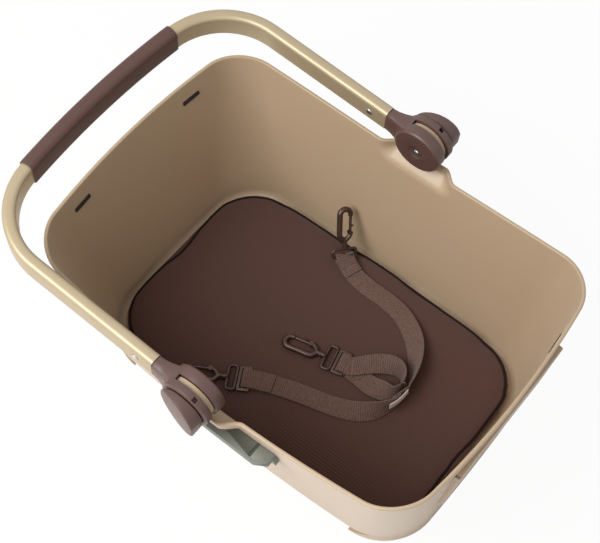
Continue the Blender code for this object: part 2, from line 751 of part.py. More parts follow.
def crossbar_ends():
    """Where an arm ends and the angle, about the cross-bar's centre, at which the corner bend meets it."""
    centre_x = CROSSBAR_ARCH - CROSSBAR_REACH
    bend_y = ARM_Y - BEND_RADIUS
    bend_x = centre_x - math.sqrt((CROSSBAR_ARCH - BEND_RADIUS) ** 2 - bend_y ** 2)
    return centre_x, bend_x, bend_y, math.atan2(bend_y, bend_x - centre_x)


def crossbar_path():
    centre_x, _, _, meet = crossbar_ends()
    return arc(CROSSBAR_ARCH, meet, 2 * math.pi - meet, CROSSBAR_STEPS, (centre_x, 0.0))


def make_handle(axis):
    _, bend_x, bend_y, meet = crossbar_ends()
    bend = arc(BEND_RADIUS, math.pi / 2, meet, BEND_STEPS, (bend_x, bend_y))
    far = [(-TUBE_START, ARM_Y)] + bend
    path = far + crossbar_path()[1:-1] + [(x, -y) for x, y in reversed(far)]
    tube = sweep("handle_tube", path, rounded_rectangle(TUBE_THICK, TUBE_HIGH, TUBE_CORNER), CHAMPAGNE, axis)
    bore_corner = TUBE_CORNER - TUBE_WALL
    bore = rounded_rectangle(TUBE_THICK - 2 * TUBE_WALL, TUBE_HIGH - 2 * TUBE_WALL, bore_corner)
    for side in (1, -1):
        outline = [(side * ARM_Y + y, z) for y, z in bore]
        cut(tube, prism("socket", outline, "X", -TUBE_START - SOCKET_DEPTH, -TUBE_START + CUT_OVERRUN,
                        parent=axis))
        cut(tube, rod("arm_rivet_bore", RIVET_RADIUS + SEAT_GAP, side * ARM_Y - TUBE_THICK,
                      side * ARM_Y + TUBE_THICK, ARM_RIVET_X, steps=SMALL_STEPS, parent=axis))
    sleeve = rounded_rectangle(TUBE_THICK + 2 * SEAT_GAP, TUBE_HIGH + 2 * SEAT_GAP, TUBE_CORNER + SEAT_GAP)
    grip = sweep("handle_grip", crossbar_path(), sleeve, BROWN_RUBBER, axis, capped=False)
    wall = grip.modifiers.new("wall", "SOLIDIFY")
    wall.thickness = GRIP_WALL
    wall.offset = 1
    wall.use_even_offset = True


def stem_rings():
    """Tang, shoulder and flaring stem, from the tang's end to the inside of the disc."""
    fit = TUBE_WALL + SEAT_GAP
    shoulder = -TUBE_START + SEAT_GAP
    stations = [(-TUBE_START - TANG_LENGTH, TUBE_THICK - 2 * fit, TUBE_HIGH - 2 * fit, TUBE_CORNER - fit),
                (shoulder, TUBE_THICK - 2 * fit, TUBE_HIGH - 2 * fit, TUBE_CORNER - fit)]
    for station, spread in zip(reversed(STEM_STATION_SHARES), reversed(STEM_SPREAD_SHARES)):
        stations.append((shoulder * station, TUBE_THICK + STEM_EXTRA_THICK * spread,
                         TUBE_HIGH - TUBE_WALL + STEM_EXTRA_HIGH * spread, TUBE_CORNER))
    return [[(x, ARM_Y + y, z) for y, z in rounded_rectangle(thick, high, corner)]
            for x, thick, high, corner in stations]


def make_fork(axis):
    fork = rod("far_hinge_fork", FORK_RADIUS, FORK_INNER_Y, FORK_OUTER_Y, steps=DISC_STEPS,
               look=BROWN_SHELL, parent=axis, edge=FORK_EDGE)
    join(fork, loft("fork_stem", stem_rings(), parent=axis))
    back = math.acos(SLOT_BACK / SLOT_RADIUS)
    reach = FORK_RADIUS + CUT_OVERRUN
    slot = arc(SLOT_RADIUS, math.pi - back, math.pi + back, SMALL_STEPS)
    slot += [(-SLOT_BACK, -reach), (reach, -reach), (reach, reach), (-SLOT_BACK, reach)]
    nut_low = FORK_OUTER_Y - 2 * SEAT_GAP - NUT_HIGH
    head_seat = FORK_INNER_Y + RECESS_DEPTH + BOLT_HEAD_HIGH + 2 * SEAT_GAP
    outside = FORK_OUTER_Y + CUT_OVERRUN
    inside = FORK_INNER_Y - CUT_OVERRUN
    peep = box("peep_hole", (FORK_RADIUS - PEEP_DEPTH, PEEP_Y - PEEP_SIZE / 2, -PEEP_SIZE / 2),
               (reach, PEEP_Y + PEEP_SIZE / 2, PEEP_SIZE / 2), parent=axis)
    peep.data.transform(Matrix.Rotation(-PEEP_ANGLE, 4, "Y"))
    pin_bore = rod("pin_bore", PIN_RADIUS + RUN_GAP, -PIN_HALF - RUN_GAP, reach, steps=SMALL_STEPS,
                   parent=axis)
    pin_bore.data.transform(Matrix.Translation((PIN_X, PIN_Y, 0)) @ Matrix.Rotation(-math.pi / 2, 4, "X"))
    lug_x = LUG_HALF_LENGTH + LUG_SIDE_GAP
    lug_z = LUG_HALF_WIDTH + RUN_GAP
    cut(fork,
        prism("fork_slot", slot, "Y", SLOT_INNER_Y, SLOT_OUTER_Y, parent=axis),
        rod("bolt_bore", BOLT_RADIUS + RUN_GAP, inside, outside, parent=axis),
        rod("head_recess", RECESS_RADIUS, inside, FORK_INNER_Y + RECESS_DEPTH, parent=axis),
        rod("head_bore", BOLT_HEAD_RADIUS + RUN_GAP, inside, head_seat, parent=axis),
        prism("nut_pocket", hexagon(NUT_ACROSS + 2 * SEAT_GAP), "Y", nut_low - SEAT_GAP, outside,
              parent=axis),
        box("lug_pocket", (PIN_X - lug_x, PIN_Y - lug_x, -lug_z), (PIN_X + lug_x, outside, lug_z),
            parent=axis),
        pin_bore,
        rod("spring_bore", SPRING_RADIUS + SPRING_WIRE + RUN_GAP, FORK_OUTER_Y - SPRING_DEPTH, outside,
            SPRING_X, steps=SMALL_STEPS, parent=axis),
        rod("plunger_bore", PLUNGER_RADIUS + RUN_GAP, SLOT_OUTER_Y - PLUNGER_BITE, outside, PLUNGER_X,
            parent=axis),
        peep)
    return fork


def hexagon(across):
    return arc(across / math.sqrt(3), math.pi / 6, math.pi / 6 + 5 * math.pi / 3, 5)


def make_pivot(axis):
    """Bolt and nut on the handle; the bush stands in the tub's ear."""
    nut_high = FORK_OUTER_Y - SEAT_GAP
    nut = prism("far_pivot_nut", hexagon(NUT_ACROSS), "Y", nut_high - NUT_HIGH, nut_high, STEEL, axis)
    cut(nut, rod("nut_thread", BOLT_RADIUS + RUN_GAP, nut_high - NUT_HIGH - CUT_OVERRUN,
                 nut_high + CUT_OVERRUN, parent=axis))
    head_low = FORK_INNER_Y + RECESS_DEPTH + SEAT_GAP
    head_high = head_low + BOLT_HEAD_HIGH
    bolt = turned("far_pivot_bolt", [
        (0, nut_high - RUN_GAP), (BOLT_RADIUS, nut_high - RUN_GAP), (BOLT_RADIUS, head_high),
        (BOLT_HEAD_RADIUS, head_high), (BOLT_HEAD_RADIUS, head_low), (0, head_low),
    ], along_y(0, 0), STEEL, axis)
    key = arc(BOLT_KEY_RADIUS, 0, 5 * math.pi / 3, 5)
    cut(bolt, prism("bolt_key", key, "Y", head_low - CUT_OVERRUN, head_low + BOLT_KEY_DEPTH, parent=axis))
    bush_low = SLOT_INNER_Y + RUN_GAP
    bush_high = SLOT_OUTER_Y - RUN_GAP
    bush = turned("far_pivot_bush", [
        (BUSH_OUTER, bush_high), (BUSH_OUTER, bush_low), (BUSH_INNER, bush_low), (BUSH_INNER, bush_high),
    ], along_y(0, 0), ACETAL, closed=True)
    bush.location = (HINGE_X, 0, HINGE_Z)
    return nut, bolt, bush


def make_lever(axis):
    slit_y = FORK_OUTER_Y + LEVER_SLIT
    slope = (LEVER_THICK_Y - LEVER_THIN_Y) / (LEVER_CUT_X + LEVER_RADIUS)
    left = -LEVER_RADIUS - CUT_OVERRUN
    lever = rod("far_release_lever", LEVER_RADIUS, slit_y - CUT_OVERRUN, LEVER_THICK_Y + CUT_OVERRUN,
                steps=DISC_STEPS, look=BROWN_SHELL, parent=axis)
    wedge = prism("lever_wedge", [
        (PIN_X, slit_y), (LEVER_CUT_X, slit_y), (LEVER_CUT_X, LEVER_THICK_Y),
        (left, LEVER_THIN_Y - slope * CUT_OVERRUN), (left, slit_y + (PIN_X - left) * math.tan(LEVER_OPEN)),
    ], "Z", -FORK_RADIUS, FORK_RADIUS, parent=axis)
    boolean(lever, wedge, "INTERSECT")
    round_edges(lever, LEVER_EDGE, angle=LEVER_ANGLE)
    lug = box("lever_lug", (PIN_X - LUG_HALF_LENGTH, PIN_Y - LUG_HALF_LENGTH, -LUG_HALF_WIDTH),
              (PIN_X + LUG_HALF_LENGTH, slit_y + LEVER_FLOOR, LUG_HALF_WIDTH), parent=axis)
    join(lever, lug)
    lug_bore = rod("lug_bore", PIN_RADIUS + RUN_GAP, -FORK_RADIUS, FORK_RADIUS, steps=SMALL_STEPS,
                   parent=axis)
    lug_bore.data.transform(Matrix.Translation((PIN_X, PIN_Y, 0)) @ Matrix.Rotation(-math.pi / 2, 4, "X"))
    chamber_low = slit_y + LEVER_FLOOR
    cut(lever, lug_bore,
        rod("plunger_neck_hole", PLUNGER_NECK_RADIUS + PLUNGER_SWING_ROOM, slit_y - CUT_OVERRUN,
            chamber_low + NECK_GAP / 2, PLUNGER_X, steps=SMALL_STEPS, parent=axis),
        rod("plunger_head_room", PLUNGER_HEAD_RADIUS + PLUNGER_SWING_ROOM, chamber_low,
            chamber_low + PLUNGER_HEAD_HIGH + 2 * NECK_GAP, PLUNGER_X, steps=SMALL_STEPS, parent=axis))
    lever = solid(lever, BROWN_SHELL, axis)
    lever.data.transform(Matrix.Translation((-PIN_X, -PIN_Y, 0)))
    lever.location = (PIN_X, PIN_Y, 0)

    pin = turned("far_lever_pin", [
        (0, PIN_HALF), (PIN_RADIUS, PIN_HALF), (PIN_RADIUS, -PIN_HALF), (0, -PIN_HALF),
    ], Matrix(), STEEL, axis, steps=SMALL_STEPS)
    pin.location = (PIN_X, PIN_Y, 0)

    spring_low = FORK_OUTER_Y - SPRING_DEPTH + SEAT_GAP + SPRING_WIRE
    spring_high = slit_y + (PIN_X - SPRING_X) * math.tan(LEVER_OPEN) - SEAT_GAP - 2 * SPRING_WIRE
    count = SPRING_TURNS * SPRING_TURN_POINTS
    coil = [(SPRING_X + SPRING_RADIUS * math.cos(i / SPRING_TURN_POINTS * 2 * math.pi),
             lerp(spring_low, spring_high, i / count),
             SPRING_RADIUS * math.sin(i / SPRING_TURN_POINTS * 2 * math.pi)) for i in range(count + 1)]
    spring = solid(tube_curve("far_lever_spring", coil, SPRING_WIRE, resolution=0), STEEL, axis)

    foot = EAR_OUTER_Y - PLUNGER_BITE
    top = FORK_OUTER_Y - SEAT_GAP
    head_low = chamber_low + NECK_GAP
    plunger = turned("far_lock_plunger", [
        (0, head_low + PLUNGER_HEAD_HIGH), (PLUNGER_HEAD_RADIUS, head_low + PLUNGER_HEAD_HIGH),
        (PLUNGER_HEAD_RADIUS, head_low), (PLUNGER_NECK_RADIUS, head_low), (PLUNGER_NECK_RADIUS, top),
        (PLUNGER_RADIUS, top), (PLUNGER_RADIUS, foot), (0, foot),
    ], along_y(0, 0), STEEL, axis)
    plunger.location = (PLUNGER_X, 0, 0)
    return lever, pin, spring, plunger


def rivet(name, low, high, place, parent=None):
    """A rivet with a domed head at each end; its heads bear at the heights low and high."""
    head = [(RIVET_HEAD_RADIUS * r, high + RIVET_HEAD_HIGH * h) for r, h in reversed(RIVET_DOME_SHARES)]
    tail = [(RIVET_HEAD_RADIUS * r, low - RIVET_HEAD_HIGH * h) for r, h in RIVET_DOME_SHARES]
    profile = head + [(RIVET_RADIUS, high), (RIVET_RADIUS, low)] + tail
    return turned(name, profile, place, STEEL, parent, steps=SMALL_STEPS)


def make_bracket(shell):
    """The ledge on the near wall: a channel open below, a solid end block and a flange against the wall."""
    lip_low = BRACKET_TOP_Z - BRACKET_LIP_HIGH
    under = BRACKET_TOP_Z - BRACKET_SHEET
    flange_low = BRACKET_TOP_Z - BRACKET_FLANGE_HIGH
    lean = math.tan(SIDE_LEAN)
    flange_y = side_wall_y(0.0, under) + SEAT_GAP + BRACKET_FLANGE_SHEET
    lip_y = BRACKET_SHEET - BRACKET_OUTER_Y
    channel = prism("side_bracket", [
        (-BRACKET_OUTER_Y, BRACKET_TOP_Z), (-BRACKET_OUTER_Y, lip_low), (lip_y, lip_low),
        (lip_y, under), (-flange_y, under),
        (-flange_y + lean * (under - flange_low), flange_low), (-BRACKET_BACK_Y, flange_low),
        (-BRACKET_BACK_Y, BRACKET_TOP_Z),
    ], "X", BRACKET_START_X, BRACKET_END_X, GREY_SHELL)
    block = box("end_block", (BRACKET_BLOCK_X, -BRACKET_OUTER_Y + SEAT_GAP, lip_low + SEAT_GAP),
                (BRACKET_END_X - SEAT_GAP, -BRACKET_BACK_Y - SEAT_GAP, BRACKET_TOP_Z - SEAT_GAP))
    corner_x = BRACKET_END_X - BRACKET_CHAMFER_X
    far_x = BRACKET_END_X + CUT_OVERRUN
    far_y = BRACKET_OUTER_Y + CUT_OVERRUN
    slope = BRACKET_CHAMFER_Y / BRACKET_CHAMFER_X
    chamfer = prism("end_chamfer", [
        (corner_x - CUT_OVERRUN, -BRACKET_OUTER_Y - slope * CUT_OVERRUN),
        (corner_x - CUT_OVERRUN, -far_y - slope * CUT_OVERRUN), (far_x, -far_y - slope * CUT_OVERRUN),
        (far_x, -BRACKET_OUTER_Y + BRACKET_CHAMFER_Y + slope * CUT_OVERRUN),
    ], "Z", flange_low - CUT_OVERRUN, BRACKET_TOP_Z + CUT_OVERRUN)
    notch_end = BRACKET_BLOCK_X + BRACKET_STEP_WIDTH
    notch = box("top_notch", (BRACKET_BLOCK_X, lip_y, BRACKET_TOP_Z - BRACKET_STEP),
                (notch_end, -BRACKET_BACK_Y + CUT_OVERRUN, BRACKET_TOP_Z + CUT_OVERRUN))
    wall_side = loft("wall_side", tub_rings(SEAT_GAP))
    join(channel, block)
    cut(channel, chamfer, notch, wall_side)
    z = BRACKET_TOP_Z - BRACKET_RIVET_DROP
    for number, x in enumerate(BRACKET_RIVET_X, 1):
        place = (Matrix.Translation((x, -side_wall_y(x, z), z))
                 @ Matrix.Rotation(math.pi / 2 + SIDE_LEAN, 4, "X"))
        face_y = flange_y - lean * (under - z)
        grip = (face_y - side_wall_y(x, z)) * math.cos(SIDE_LEAN) + SEAT_GAP
        rivet("bracket_rivet_" + str(number), -WALL - SEAT_GAP, grip, place)
        reach = WALL + grip + CUT_OVERRUN
        wide = RIVET_RADIUS + SEAT_GAP
        bore = turned("rivet_bore", [(0, reach), (wide, reach), (wide, -reach), (0, -reach)], place,
                      steps=SMALL_STEPS)
        cut(channel, bore)
        cut(shell, bore)


# The lead

def strap(name, route):
    points = [point[:3] for point in route]
    tilts = [math.pi / 2 + math.radians(point[3]) for point in route]
    flat = tube_curve(name, points, WEB_THICK / 2, tilts, (WEB_WIDTH - WEB_THICK) / 2)
    return solid(flat, BROWN_WEB)


def ring_curve(name, length, width, corner, wire, shift):
    points = [(x + shift, y, 0) for x, y in rounded_rectangle(length, width, corner, steps=1)]
    return tube_curve(name, points, wire, closed=True)


def make_hook():
    """Body of a snap hook in its own frame, as a mesh: eye bar along Y at 0, tip towards -X."""
    root = -EYE_DEPTH - BARREL_LENGTH
    tip = root - LOOP_LENGTH + HOOK_WIRE + LOOP_HALF
    nose = root - LOOP_LENGTH * LOOP_NOSE_SHARE
    stub = root - LOOP_LENGTH * LOOP_ROOT_SHARE
    shoulder = [(lerp(root, stub, along), LOOP_HALF * across) for along, across in LOOP_SHOULDER_SHARES]
    path = [(stub, LOOP_HALF, 0)] + [(x, y, 0) for x, y in reversed(shoulder)] + [(root, 0, 0)]
    path += [(x, -y, 0) for x, y in shoulder]
    round_nose = arc(LOOP_HALF, 3 * math.pi / 2, math.pi / 2, SMALL_STEPS // 2, (tip, 0.0))
    path += [(x, y, 0) for x, y in round_nose]
    path.append((nose, LOOP_HALF, 0))
    loop = solid(tube_curve("hook_wire", path, HOOK_WIRE), None)
    eye_corner = EYE_DEPTH * EYE_CORNER_SHARE
    eye = ring_curve("hook_eye", EYE_DEPTH, EYE_WIDTH, eye_corner, EYE_WIRE, -EYE_DEPTH / 2)
    eye = solid(eye, None)
    barrel = turned("hook_barrel", [
        (0, BARREL_LENGTH / 2 + EYE_WIRE / 2), (BARREL_RADIUS, BARREL_LENGTH / 2 + EYE_WIRE / 2),
        (BARREL_RADIUS, 0), (BARREL_RADIUS * BARREL_TAPER_SHARE, -BARREL_LENGTH / 2 - EYE_WIRE / 2),
        (0, -BARREL_LENGTH / 2 - EYE_WIRE / 2),
    ], Matrix.Translation((root + BARREL_LENGTH / 2, 0, 0)) @ Matrix.Rotation(math.pi / 2, 4, "Y"),
        steps=SMALL_STEPS)
    join(barrel, eye, loop)
    body = baked(barrel)
    for used in (barrel, eye, loop):
        bpy.data.objects.remove(used)
    return body, (stub - GATE_GAP, LOOP_HALF, 0), stub - nose - 2 * GATE_GAP


def make_hooks():
    body, pivot, length = make_hook()
    for number, place in enumerate(HOOK_PLACES, 1):
        hook = add("hook_body_" + str(number), body.copy(), BRONZE)
        hook.matrix_world = frame_at(place)
        gate = tube_curve("hook_gate_" + str(number), [(0, 0, 0), (-length, 0, 0)], GATE_WIRE)
        gate = solid(gate, BRONZE)
        gate.matrix_world = frame_at(place) @ Matrix.Translation(pivot)


def make_slider(name, place):
    """A flat frame with a middle rail that webbing turns round."""
    frame = prism(name, rounded_rectangle(SLIDER_LENGTH, SLIDER_WIDTH, SLIDER_RAIL / 2), "Z",
                  -SLIDER_THICK / 2, SLIDER_THICK / 2, BRONZE)
    window = (SLIDER_LENGTH - 3 * SLIDER_RAIL) / 2
    half_y = SLIDER_WIDTH / 2 - SLIDER_RAIL
    for side in (1, -1):
        centre = side * (SLIDER_RAIL + window) / 2
        cut(frame, box("window", (centre - window / 2, -half_y, -SLIDER_THICK),
                       (centre + window / 2, half_y, SLIDER_THICK)))
    frame = solid(frame, BRONZE)
    frame.matrix_world = frame_at(place)


def make_lead():
    strap("strap_a", STRAP_A_ROUTE)
    strap("strap_b", STRAP_B_ROUTE)
    strap("strap_c", STRAP_C_ROUTE)
    make_hooks()
    make_slider("strap_slider", SLIDER_PLACE)
    make_slider("strap_adjuster", ADJUSTER_PLACE)
    high = WEB_WIDTH + 2 * (SEAT_GAP + LOOP_BAR_WIRE) + WEB_THICK / 2
    bar = ring_curve("strap_loop_bar", LOOP_BAR_LENGTH, high, LOOP_BAR_WIRE, LOOP_BAR_WIRE, 0.0)
    bar = solid(bar, BRONZE)
    bar.matrix_world = frame_at(LOOP_BAR_PLACE)
    tag = tube_curve("lead_tag", TAG_ROUTE, TAG_THICK / 2, None, (TAG_HIGH - TAG_THICK) / 2)
    solid(tag, TAG_FABRIC)


tub_shell = make_tub()
make_bracket(tub_shell)
make_cushion()
handle_axis = empty("handle_axis", (HINGE_X, 0, HINGE_Z), turn=(0, HANDLE_TILT, 0))
make_handle(handle_axis)
far_fork = make_fork(handle_axis)
far_nut, far_bolt, far_bush = make_pivot(handle_axis)
far_lever, far_pin, far_spring, far_plunger = make_lever(handle_axis)
far_rivet = rivet("far_arm_rivet", ARM_Y - TUBE_THICK / 2 - SEAT_GAP, ARM_Y + TUBE_THICK / 2 + SEAT_GAP,
                  along_y(ARM_RIVET_X, 0), handle_axis)
cut(far_fork, rod("tang_bore", RIVET_RADIUS + SEAT_GAP, ARM_Y - TUBE_THICK, ARM_Y + TUBE_THICK, ARM_RIVET_X,
                  steps=SMALL_STEPS, parent=handle_axis))
for far, look in ((far_fork, BROWN_SHELL), (far_nut, STEEL), (far_bolt, STEEL), (far_lever, BROWN_SHELL),
                  (far_pin, STEEL), (far_spring, STEEL), (far_plunger, STEEL), (far_rivet, STEEL)):
    mirrored(far, far.name.replace("far_", "near_"), look, handle_axis)
mirrored(far_bush, "near_pivot_bush", ACETAL)
make_lead()
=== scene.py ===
"""Looks of the dog bicycle basket: a beige moulded tub with a brown ribbed cushion, a champagne handle
on two brown hinges, and a three-legged webbing lead that lies on the cushion.

Metres, +Z up, in the frame of the solids. The floor's underside is z = 0.
"""

import math

import bmesh
import bpy
from mathutils import Matrix, Vector
from mathutils.bvhtree import BVHTree


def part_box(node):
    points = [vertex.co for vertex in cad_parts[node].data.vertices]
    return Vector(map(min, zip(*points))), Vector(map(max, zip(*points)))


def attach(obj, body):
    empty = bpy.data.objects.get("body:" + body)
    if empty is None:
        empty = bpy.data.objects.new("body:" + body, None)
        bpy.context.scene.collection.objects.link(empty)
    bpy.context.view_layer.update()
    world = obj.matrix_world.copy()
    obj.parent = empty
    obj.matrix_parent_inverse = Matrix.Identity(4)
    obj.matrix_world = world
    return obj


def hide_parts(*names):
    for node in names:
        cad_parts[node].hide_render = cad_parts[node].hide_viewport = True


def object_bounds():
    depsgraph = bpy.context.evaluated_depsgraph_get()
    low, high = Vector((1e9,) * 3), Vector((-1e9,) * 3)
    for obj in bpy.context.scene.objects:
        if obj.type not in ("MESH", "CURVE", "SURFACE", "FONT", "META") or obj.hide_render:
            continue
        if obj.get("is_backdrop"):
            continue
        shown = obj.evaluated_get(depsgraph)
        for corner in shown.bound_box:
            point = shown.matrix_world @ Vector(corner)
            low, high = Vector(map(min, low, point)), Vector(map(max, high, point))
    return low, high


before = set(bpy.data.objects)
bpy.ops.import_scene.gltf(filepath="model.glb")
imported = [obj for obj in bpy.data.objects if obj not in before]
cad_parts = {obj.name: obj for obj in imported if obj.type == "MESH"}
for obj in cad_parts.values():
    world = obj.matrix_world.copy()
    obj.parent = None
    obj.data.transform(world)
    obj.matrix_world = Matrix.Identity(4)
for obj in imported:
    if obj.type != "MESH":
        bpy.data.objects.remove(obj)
cad_box = [[float(v) for v in corner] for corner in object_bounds()]

# Camera
# A long lens that looks steeply down from beside the near right corner. Its place and turn were
# worked out from the tub's rim and the hinges in the photograph.

CAMERA_PLACE = (0.38493, -0.43896, 1.24205)
CAMERA_RIGHT = Vector((0.77992, 0.62575, -0.01290))
CAMERA_UP = Vector((-0.54340, 0.68722, 0.48212))

lens = bpy.data.cameras.new("camera")
lens.sensor_fit = "HORIZONTAL"
lens.lens = 79.81
lens.shift_x = -0.0408
lens.shift_y = -0.0060
lens.clip_start = 0.01
camera = bpy.data.objects.new("camera", lens)
back = CAMERA_RIGHT.cross(CAMERA_UP)
turn = Matrix((CAMERA_RIGHT, CAMERA_UP, back)).transposed().to_4x4()
camera.matrix_world = Matrix.Translation(CAMERA_PLACE) @ turn
bpy.context.scene.collection.objects.link(camera)
bpy.context.scene.camera = camera
bpy.context.scene.view_settings.view_transform = "Standard"

# Floor and light
# A white table top, lit by one large soft lamp from the upper left of the picture and an even white
# room. The camera sees the table almost white, with the object's soft shadow kept.

FLOOR_Z, FLOOR_HALF, FLOOR_SEEN = -0.008, 4.0, 0.94
LAMP_PLACE = Vector((-0.50, -1.05, 1.50))
LAMP_SIZE, LAMP_POWER, ROOM_LIGHT = 1.2, 30.0, 0.50


def put(tree, kind, inputs=None, **settings):
    """Adds a node, sets it up and fills its inputs with values, sockets or other nodes' first output."""
    node = tree.nodes.new(kind)
    for name, value in settings.items():
        setattr(node, name, value)
    for key, value in (inputs or {}).items():
        if isinstance(value, bpy.types.Node):
            value = value.outputs[0]
        if isinstance(value, bpy.types.NodeSocket):
            tree.links.new(value, node.inputs[key])
        else:
            node.inputs[key].default_value = value
    return node


def linear(code):
    """An sRGB hex colour as linear red, green, blue and alpha."""
    parts = [int(code[i:i + 2], 16) / 255 for i in (0, 2, 4)]
    return (*(c / 12.92 if c <= 0.04045 else ((c + 0.055) / 1.055) ** 2.4 for c in parts), 1.0)


def place(name, shape, surface=None):
    """Turns a bmesh into an object at the origin."""
    mesh = bpy.data.meshes.new(name)
    shape.to_mesh(mesh)
    shape.free()
    made = bpy.data.objects.new(name, mesh)
    bpy.context.scene.collection.objects.link(made)
    if surface:
        mesh.materials.append(surface)
    return made


table_top = bpy.data.materials.new("white table")
table_top.use_nodes = True
tree = table_top.node_tree
tree.nodes.clear()
path = put(tree, "ShaderNodeLightPath")
lit = put(tree, "ShaderNodeBsdfDiffuse", {"Color": linear("F4F2F0")})
white = put(tree, "ShaderNodeEmission", {"Color": (1, 1, 1, 1), "Strength": 1.0})
seen = put(tree, "ShaderNodeMath", {0: path.outputs["Is Camera Ray"], 1: FLOOR_SEEN}, operation="MULTIPLY")
mixed = put(tree, "ShaderNodeMixShader", {0: seen, 1: lit, 2: white})
put(tree, "ShaderNodeOutputMaterial", {"Surface": mixed})

shape = bmesh.new()
bmesh.ops.create_grid(shape, x_segments=1, y_segments=1, size=FLOOR_HALF,
                      matrix=Matrix.Translation((0, 0, FLOOR_Z)))
place("table", shape, table_top)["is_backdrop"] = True

room = bpy.data.worlds.new("room")
room.use_nodes = True
bpy.context.scene.world = room
tree = room.node_tree
tree.nodes.clear()
path = put(tree, "ShaderNodeLightPath")
glossy = put(tree, "ShaderNodeMath", {0: path.outputs["Is Camera Ray"], 1: path.outputs["Is Glossy Ray"]},
             operation="ADD")
clear = put(tree, "ShaderNodeMath", {0: glossy, 1: path.outputs["Is Transmission Ray"]},
            operation="ADD", use_clamp=True)
dim = put(tree, "ShaderNodeBackground", {"Color": (1, 1, 1, 1), "Strength": ROOM_LIGHT})
bright = put(tree, "ShaderNodeBackground", {"Color": (1, 1, 1, 1), "Strength": 1.0})
mixed = put(tree, "ShaderNodeMixShader", {0: clear, 1: dim, 2: bright})
put(tree, "ShaderNodeOutputWorld", {"Surface": mixed})

lamp_data = bpy.data.lights.new("soft_lamp", "AREA")
lamp_data.shape = "SQUARE"
lamp_data.size = LAMP_SIZE
lamp_data.energy = LAMP_POWER
lamp = bpy.data.objects.new("soft_lamp", lamp_data)
lamp.matrix_world = Matrix.Translation(LAMP_PLACE) @ LAMP_PLACE.to_track_quat("Z", "Y").to_matrix().to_4x4()
bpy.context.scene.collection.objects.link(lamp)

# Tub
# One injection moulding in beige polypropylene, with a pocket and a hinge ear at the middle of each
# long side, two runners underneath and a raised pad on the end. Its mould has a fine spark texture.

WALL = 0.0035
SEAT_GAP = 0.0003
TUB_LENGTH, TUB_WIDTH, TUB_CORNER = 0.450, 0.313, 0.038
TUB_END_BOW, TUB_SIDE_BOW = 0.0127, 0.0097
BASE_LENGTH, BASE_WIDTH, BASE_CORNER = 0.3994, 0.2600, 0.0520
BASE_END_BOW, BASE_SIDE_BOW = 0.0038, 0.0094
RIM_Z, RIM_DIP, RIM_DIP_POWER = 0.199, 0.0236, 1.617
FLOOR_FILLET = 0.0110
RIM_ROUND = 0.0012
HINGE_X, HINGE_Z = 0.004, 0.197
POCKET_Y, POCKET_HALF, POCKET_FADE = 0.1675, 0.0265, 0.0185
POCKET_DROP, POCKET_FADE_Z = 0.0275, 0.0145
EAR_RADIUS, EAR_INNER_Y, EAR_OUTER_Y, EAR_FOOT_DROP = 0.0222, 0.1635, 0.1680, 0.030
EAR_FOOT_ANGLE = math.radians(50)
GROOVE_DEPTH, GROOVE_PATH_RADIUS, GROOVE_HALF = 0.0018, 0.017, 0.0033
BUSH_BORE = 0.0055
HANDLE_TILT = math.radians(5.1)
RUNNER_DROP, RUNNER_TOP, RUNNER_FOOT_INSET = 0.008, 0.010, 0.0015
RUNNER_INNER_FOOT, RUNNER_INNER_TOP = 0.140, 0.152
PAD_WIDTH, PAD_LOW, PAD_HIGH, PAD_PROUD, PAD_BACK, PAD_CORNER = 0.156, 0.084, 0.181, 0.0015, 0.010, 0.006
SLOT_Y, SLOT_Z, SLOT_LENGTH, SLOT_HEIGHT, SLOT_CORNER = 0.077, 0.177, 0.020, 0.0036, 0.0012
OVERRUN, SLOT_CUT = 0.004, 0.015
CORNER_STEPS, FADE_STEPS, GAP_STEPS, END_STEPS, FILLET_STEPS = 14, 10, 9, 12, 6
ARC_STEPS, GROOVE_END_STEPS = 64, 12
POCKET_MARKS = (0.33, 0.67, 1.0)
WALL_SHARES = [0.1 * i for i in range(1, 9)] + [0.85 + 0.015 * i for i in range(10)] + [1.0]


def lerp(a, b, share):
    return a + (b - a) * share


def risen(z):
    """How far up the wall a height is, from 0 at the floor's round to 1 at the rim."""
    return (z - FLOOR_FILLET) / (RIM_Z - FLOOR_FILLET)


def arc(radius, start, end, steps, centre=(0.0, 0.0)):
    turns = [start + (end - start) * i / steps for i in range(steps + 1)]
    return [(centre[0] + radius * math.cos(a), centre[1] + radius * math.sin(a)) for a in turns]


def circle(radius, steps, centre=(0.0, 0.0)):
    return arc(radius, 0, 2 * math.pi * (steps - 1) / steps, steps - 1, centre)


def rounded_rectangle(width, height, corner, steps=6):
    points = []
    for quarter, (sx, sy) in enumerate(((1, 1), (-1, 1), (-1, -1), (1, -1))):
        centre = (sx * (width / 2 - corner), sy * (height / 2 - corner))
        points += arc(corner, quarter * math.pi / 2, (quarter + 1) * math.pi / 2, steps, centre)
    return points


